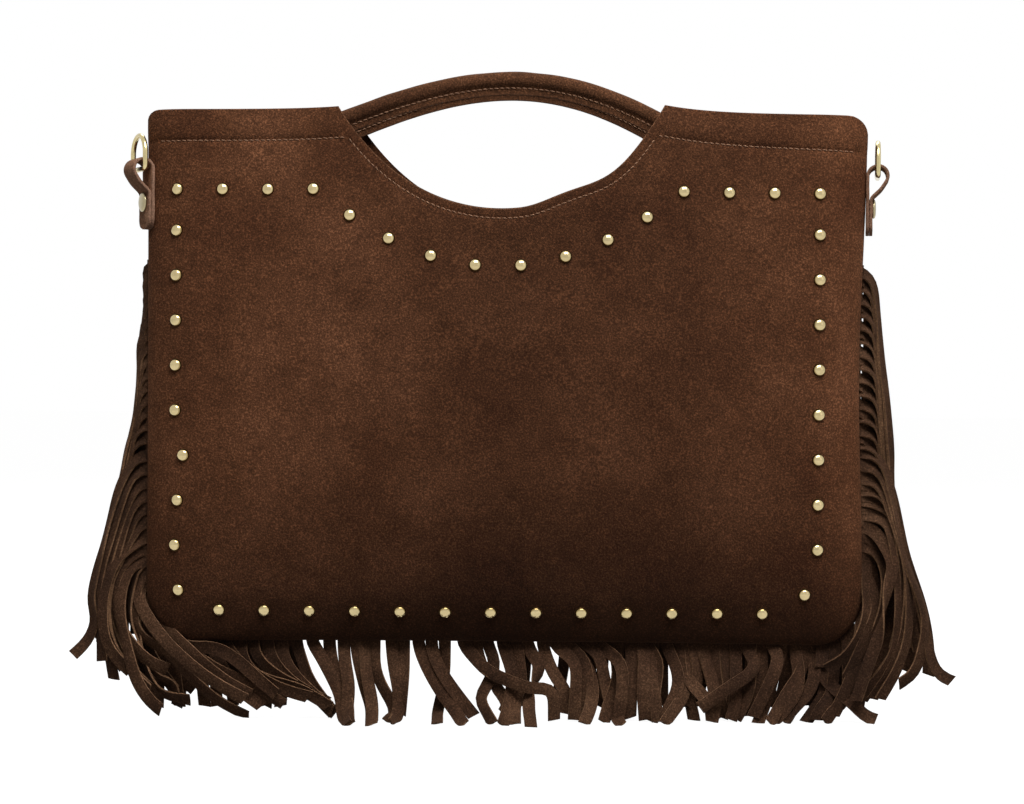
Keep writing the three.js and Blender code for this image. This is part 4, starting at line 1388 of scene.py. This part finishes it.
def side_strand(side, root_z, behind=False):
    """A strand that hangs beside the bag, outside the ones below it, or behind them."""
    length = STRAND_LENGTH * random.uniform(0.93, 1.05)
    inner_share = LEFT_INNER_SHARE if side < 0 else RIGHT_INNER_SHARE
    depth = random.uniform(9, 13) * mm if behind else random.uniform(5, 9) * mm
    edge = side * half_width - side_dent(side * half_width, root_z)
    behind_share = random.uniform(0.2, 0.6)
    seed = random.uniform(0, 90)
    line = [
        Vector((edge - side * ROOT_TUCK, band_y, root_z)),
        Vector((edge + side * ROOT_REACH * 0.6, band_y, root_z - 0.3 * mm)),
    ]
    for drop in np.arange(SIDE_FIRST_DROP, length, SIDE_STEP):
        z = root_z - drop
        if z < LOWEST_SIDE_TIP:
            break
        fall = min(drop / min(fringe_top - z, STRAND_LENGTH), 1)
        share = behind_share if behind else inner_share + (1 - inner_share) * fall
        out = max(silhouette_out(side, z) * share - 1.0 * mm, SIDE_LEAST_OUT)
        sway = SIDE_SWAY * noise.noise(Vector((drop / (40 * mm), seed, 0)))
        out += sway * min(drop / (30 * mm), 1)
        y = band_y + depth * min(drop / SIDE_DEPTH_DROP, 1)
        line.append(Vector((side * (half_width + out), y, z)))
    final = random.uniform(20, 40) if behind else random.uniform(58, 80)
    turns = [
        (0, 0), (ROOT_TUCK, 15), (ROOT_TUCK + 3 * mm, 42), (ROOT_TUCK + 8 * mm, final * 0.85),
        (30 * mm, final), (length, final + random.uniform(-25, 15)),
    ]
    return strand_form(line, turns, side)


seam_points = seam_stations(fringe_top, 0.6 * mm)


def nearest_root(px, py):
    place = seen(px, py, band_y)
    nearest = min(seam_points, key=lambda p: (p.x - place.x) ** 2 + (p.z - place.z) ** 2)
    return Vector((nearest.x, band_y, nearest.z))


def listed_strand(side, forward, turn, *points):
    """A strand that follows the pixels of one in the photograph."""
    start = nearest_root(*points[0])
    out = seam_outward(start.x, start.z)
    line = [start - out * ROOT_TUCK, start + out * ROOT_REACH]
    for k, (px, py) in enumerate(points[1:], 1):
        share = k / (len(points) - 1)
        line.append(seen_resting(px, py, band_y - forward * mm * min(share * 1.5, 1)))
    length = sum((b - a).length for a, b in zip(line, line[1:]))
    if abs(turn) > 90:
        turns = [(0, 0), (length * 0.35, 10), (length * 0.7, turn), (length, turn)]
    else:
        turns = [
            (0, 0), (ROOT_TUCK, 0), (12 * mm, turn * 0.8), (length * 0.5, turn),
            (length, turn * 0.5),
        ]
    return strand_form(line, turns, side)


def band_form():
    """The sewn edge of the fringe, along the seam."""
    sections = []
    for place in seam_stations(fringe_top, 3 * mm):
        out = seam_outward(place.x, place.z)
        near = band_y - STRAND_THICKNESS / 2
        far = band_y + STRAND_THICKNESS / 2
        rings = ((-SUEDE, near), (1.3 * mm, near), (1.3 * mm, far), (-SUEDE, far))
        sections.append([Vector((place.x, y, place.z)) + out * offset for offset, y in rings])
    return sweep(sections)


def strand_between(first, second, forward, turn):
    """A strand half way between two listed ones, and a little shorter."""
    length_share = random.uniform(0.74, 0.95)
    ways = []
    for points in (first[2:], second[2:]):
        given = np.linspace(0, 1, len(points))
        places = np.linspace(0, length_share, 7)
        ways.append([np.interp(places, given, [p[k] for p in points]) for k in (0, 1)])
    xs, ys = [(a + b) / 2 for a, b in zip(*ways)]
    return (forward, turn, *zip(xs, ys))


def with_backing(side, listed):
    """The listed strands, and behind each pair of neighbours one that shows between them."""
    parts = Parts()
    for strand in listed:
        parts.add(*listed_strand(side, *strand))
    for first, second in zip(listed, listed[1:]):
        if math.dist(first[2], second[2]) < BACKING_REACH:
            turn = random.uniform(15, 40)
            between = strand_between(first, second, random.uniform(-7, -3), turn)
            parts.add(*listed_strand(side, *between))
    return parts


def side_strands(side, listed):
    parts = Parts()
    z = fringe_top - STRAND_PITCH / 2
    lowest = nearest_root(*listed[0][2]).z + STRAND_PITCH / 2
    index = 0
    while z > lowest:
        parts.add(*side_strand(side, z))
        if index % 2 == 0:
            parts.add(*side_strand(side, z - STRAND_PITCH / 2, behind=True))
        z -= STRAND_PITCH
        index += 1
    lower = with_backing(side, listed)
    parts.add(lower.points, lower.faces, lower.slots)
    return parts


def make_fringe():
    bottom = Parts()
    bottom.add(*band_form())
    for strand in BOTTOM_STRANDS:
        bottom.add(*listed_strand(1, *strand))
    for px in BACK_ROOTS:
        lean = random.uniform(-12, 8)
        points = tuple(zip((px, px + lean * 0.3, px + lean), BACK_ROWS))
        bottom.add(*listed_strand(1, random.uniform(-8, -3), random.uniform(-35, 35), *points))
    groups = {
        "fringe_bottom": bottom,
        "fringe_left": side_strands(-1, LEFT_STRANDS),
        "fringe_right": side_strands(1, RIGHT_STRANDS),
    }
    for name, parts in groups.items():
        piece = add_piece(
            name, parts.points, parts.faces, [fringe_suede, fringe_cut], parts.slots, slot="fringe"
        )
        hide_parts("fringe")


make_fringe()


# Studio

def camera_white(nodes, links):
    """1 for rays from the camera, and for what shows in metal or through glass."""
    path = nodes.new("ShaderNodeLightPath")
    first = nodes.new("ShaderNodeMath")
    first.operation = "MAXIMUM"
    links.new(path.outputs["Is Camera Ray"], first.inputs[0])
    links.new(path.outputs["Is Glossy Ray"], first.inputs[1])
    second = nodes.new("ShaderNodeMath")
    second.operation = "MAXIMUM"
    links.new(first.outputs[0], second.inputs[0])
    links.new(path.outputs["Is Transmission Ray"], second.inputs[1])
    return second.outputs[0]


def make_world():
    world = bpy.data.worlds.new("studio")
    bpy.context.scene.world = world
    world.use_nodes = True
    nodes, links = world.node_tree.nodes, world.node_tree.links
    nodes.clear()
    light = nodes.new("ShaderNodeBackground")
    light.inputs["Color"].default_value = (1.0, 0.98, 0.96, 1)
    light.inputs["Strength"].default_value = WORLD_LEVEL
    white = nodes.new("ShaderNodeBackground")
    white.inputs["Color"].default_value = (1, 1, 1, 1)
    white.inputs["Strength"].default_value = 1.0
    mix = nodes.new("ShaderNodeMixShader")
    output = nodes.new("ShaderNodeOutputWorld")
    links.new(camera_white(nodes, links), mix.inputs[0])
    links.new(light.outputs[0], mix.inputs[1])
    links.new(white.outputs[0], mix.inputs[2])
    links.new(mix.outputs[0], output.inputs["Surface"])


def make_floor():
    mesh = bpy.data.meshes.new("floor")
    size = FLOOR_HALF_SIZE
    corners = [(-size, -size, 0), (size, -size, 0), (size, size, 0), (-size, size, 0)]
    mesh.from_pydata(corners, [], [(0, 1, 2, 3)])
    floor = bpy.data.objects.new("floor", mesh)
    bpy.context.scene.collection.objects.link(floor)
    material, nodes, links, shader = new_material("floor")
    shader.inputs["Base Color"].default_value = grey(FLOOR_GREY)
    shader.inputs["Roughness"].default_value = 1.0
    shader.inputs["Specular IOR Level"].default_value = 0.0
    lift = nodes.new("ShaderNodeEmission")
    lift.inputs["Strength"].default_value = FLOOR_LIFT
    black = nodes.new("ShaderNodeEmission")
    black.inputs["Strength"].default_value = 0.0
    choice = nodes.new("ShaderNodeMixShader")
    total = nodes.new("ShaderNodeAddShader")
    links.new(camera_white(nodes, links), choice.inputs[0])
    links.new(black.outputs[0], choice.inputs[1])
    links.new(lift.outputs[0], choice.inputs[2])
    links.new(shader.outputs[0], total.inputs[0])
    links.new(choice.outputs[0], total.inputs[1])
    links.new(total.outputs[0], nodes["Material Output"].inputs["Surface"])
    mesh.materials.append(material)


def area_light(name, place, target, size, power):
    data = bpy.data.lights.new(name, "AREA")
    data.shape = "RECTANGLE"
    data.size, data.size_y = size
    data.energy = power
    lamp = bpy.data.objects.new(name, data)
    bpy.context.scene.collection.objects.link(lamp)
    lamp.location = place
    lamp.rotation_euler = (Vector(target) - Vector(place)).to_track_quat("-Z", "Y").to_euler()


def make_studio():
    make_world()
    make_floor()
    middle = (0, 0, 0.2)
    area_light("key", (0.18, -0.66, 1.17), middle, (1.0, 0.6), 17)
    area_light("fill", (1.6, -1.4, 0.8), middle, (1.0, 1.4), 1.5)
    area_light("back", (0, 1.2, 2.0), middle, (1.8, 0.8), 22)
    bpy.context.scene.view_settings.view_transform = "Standard"


make_studio()
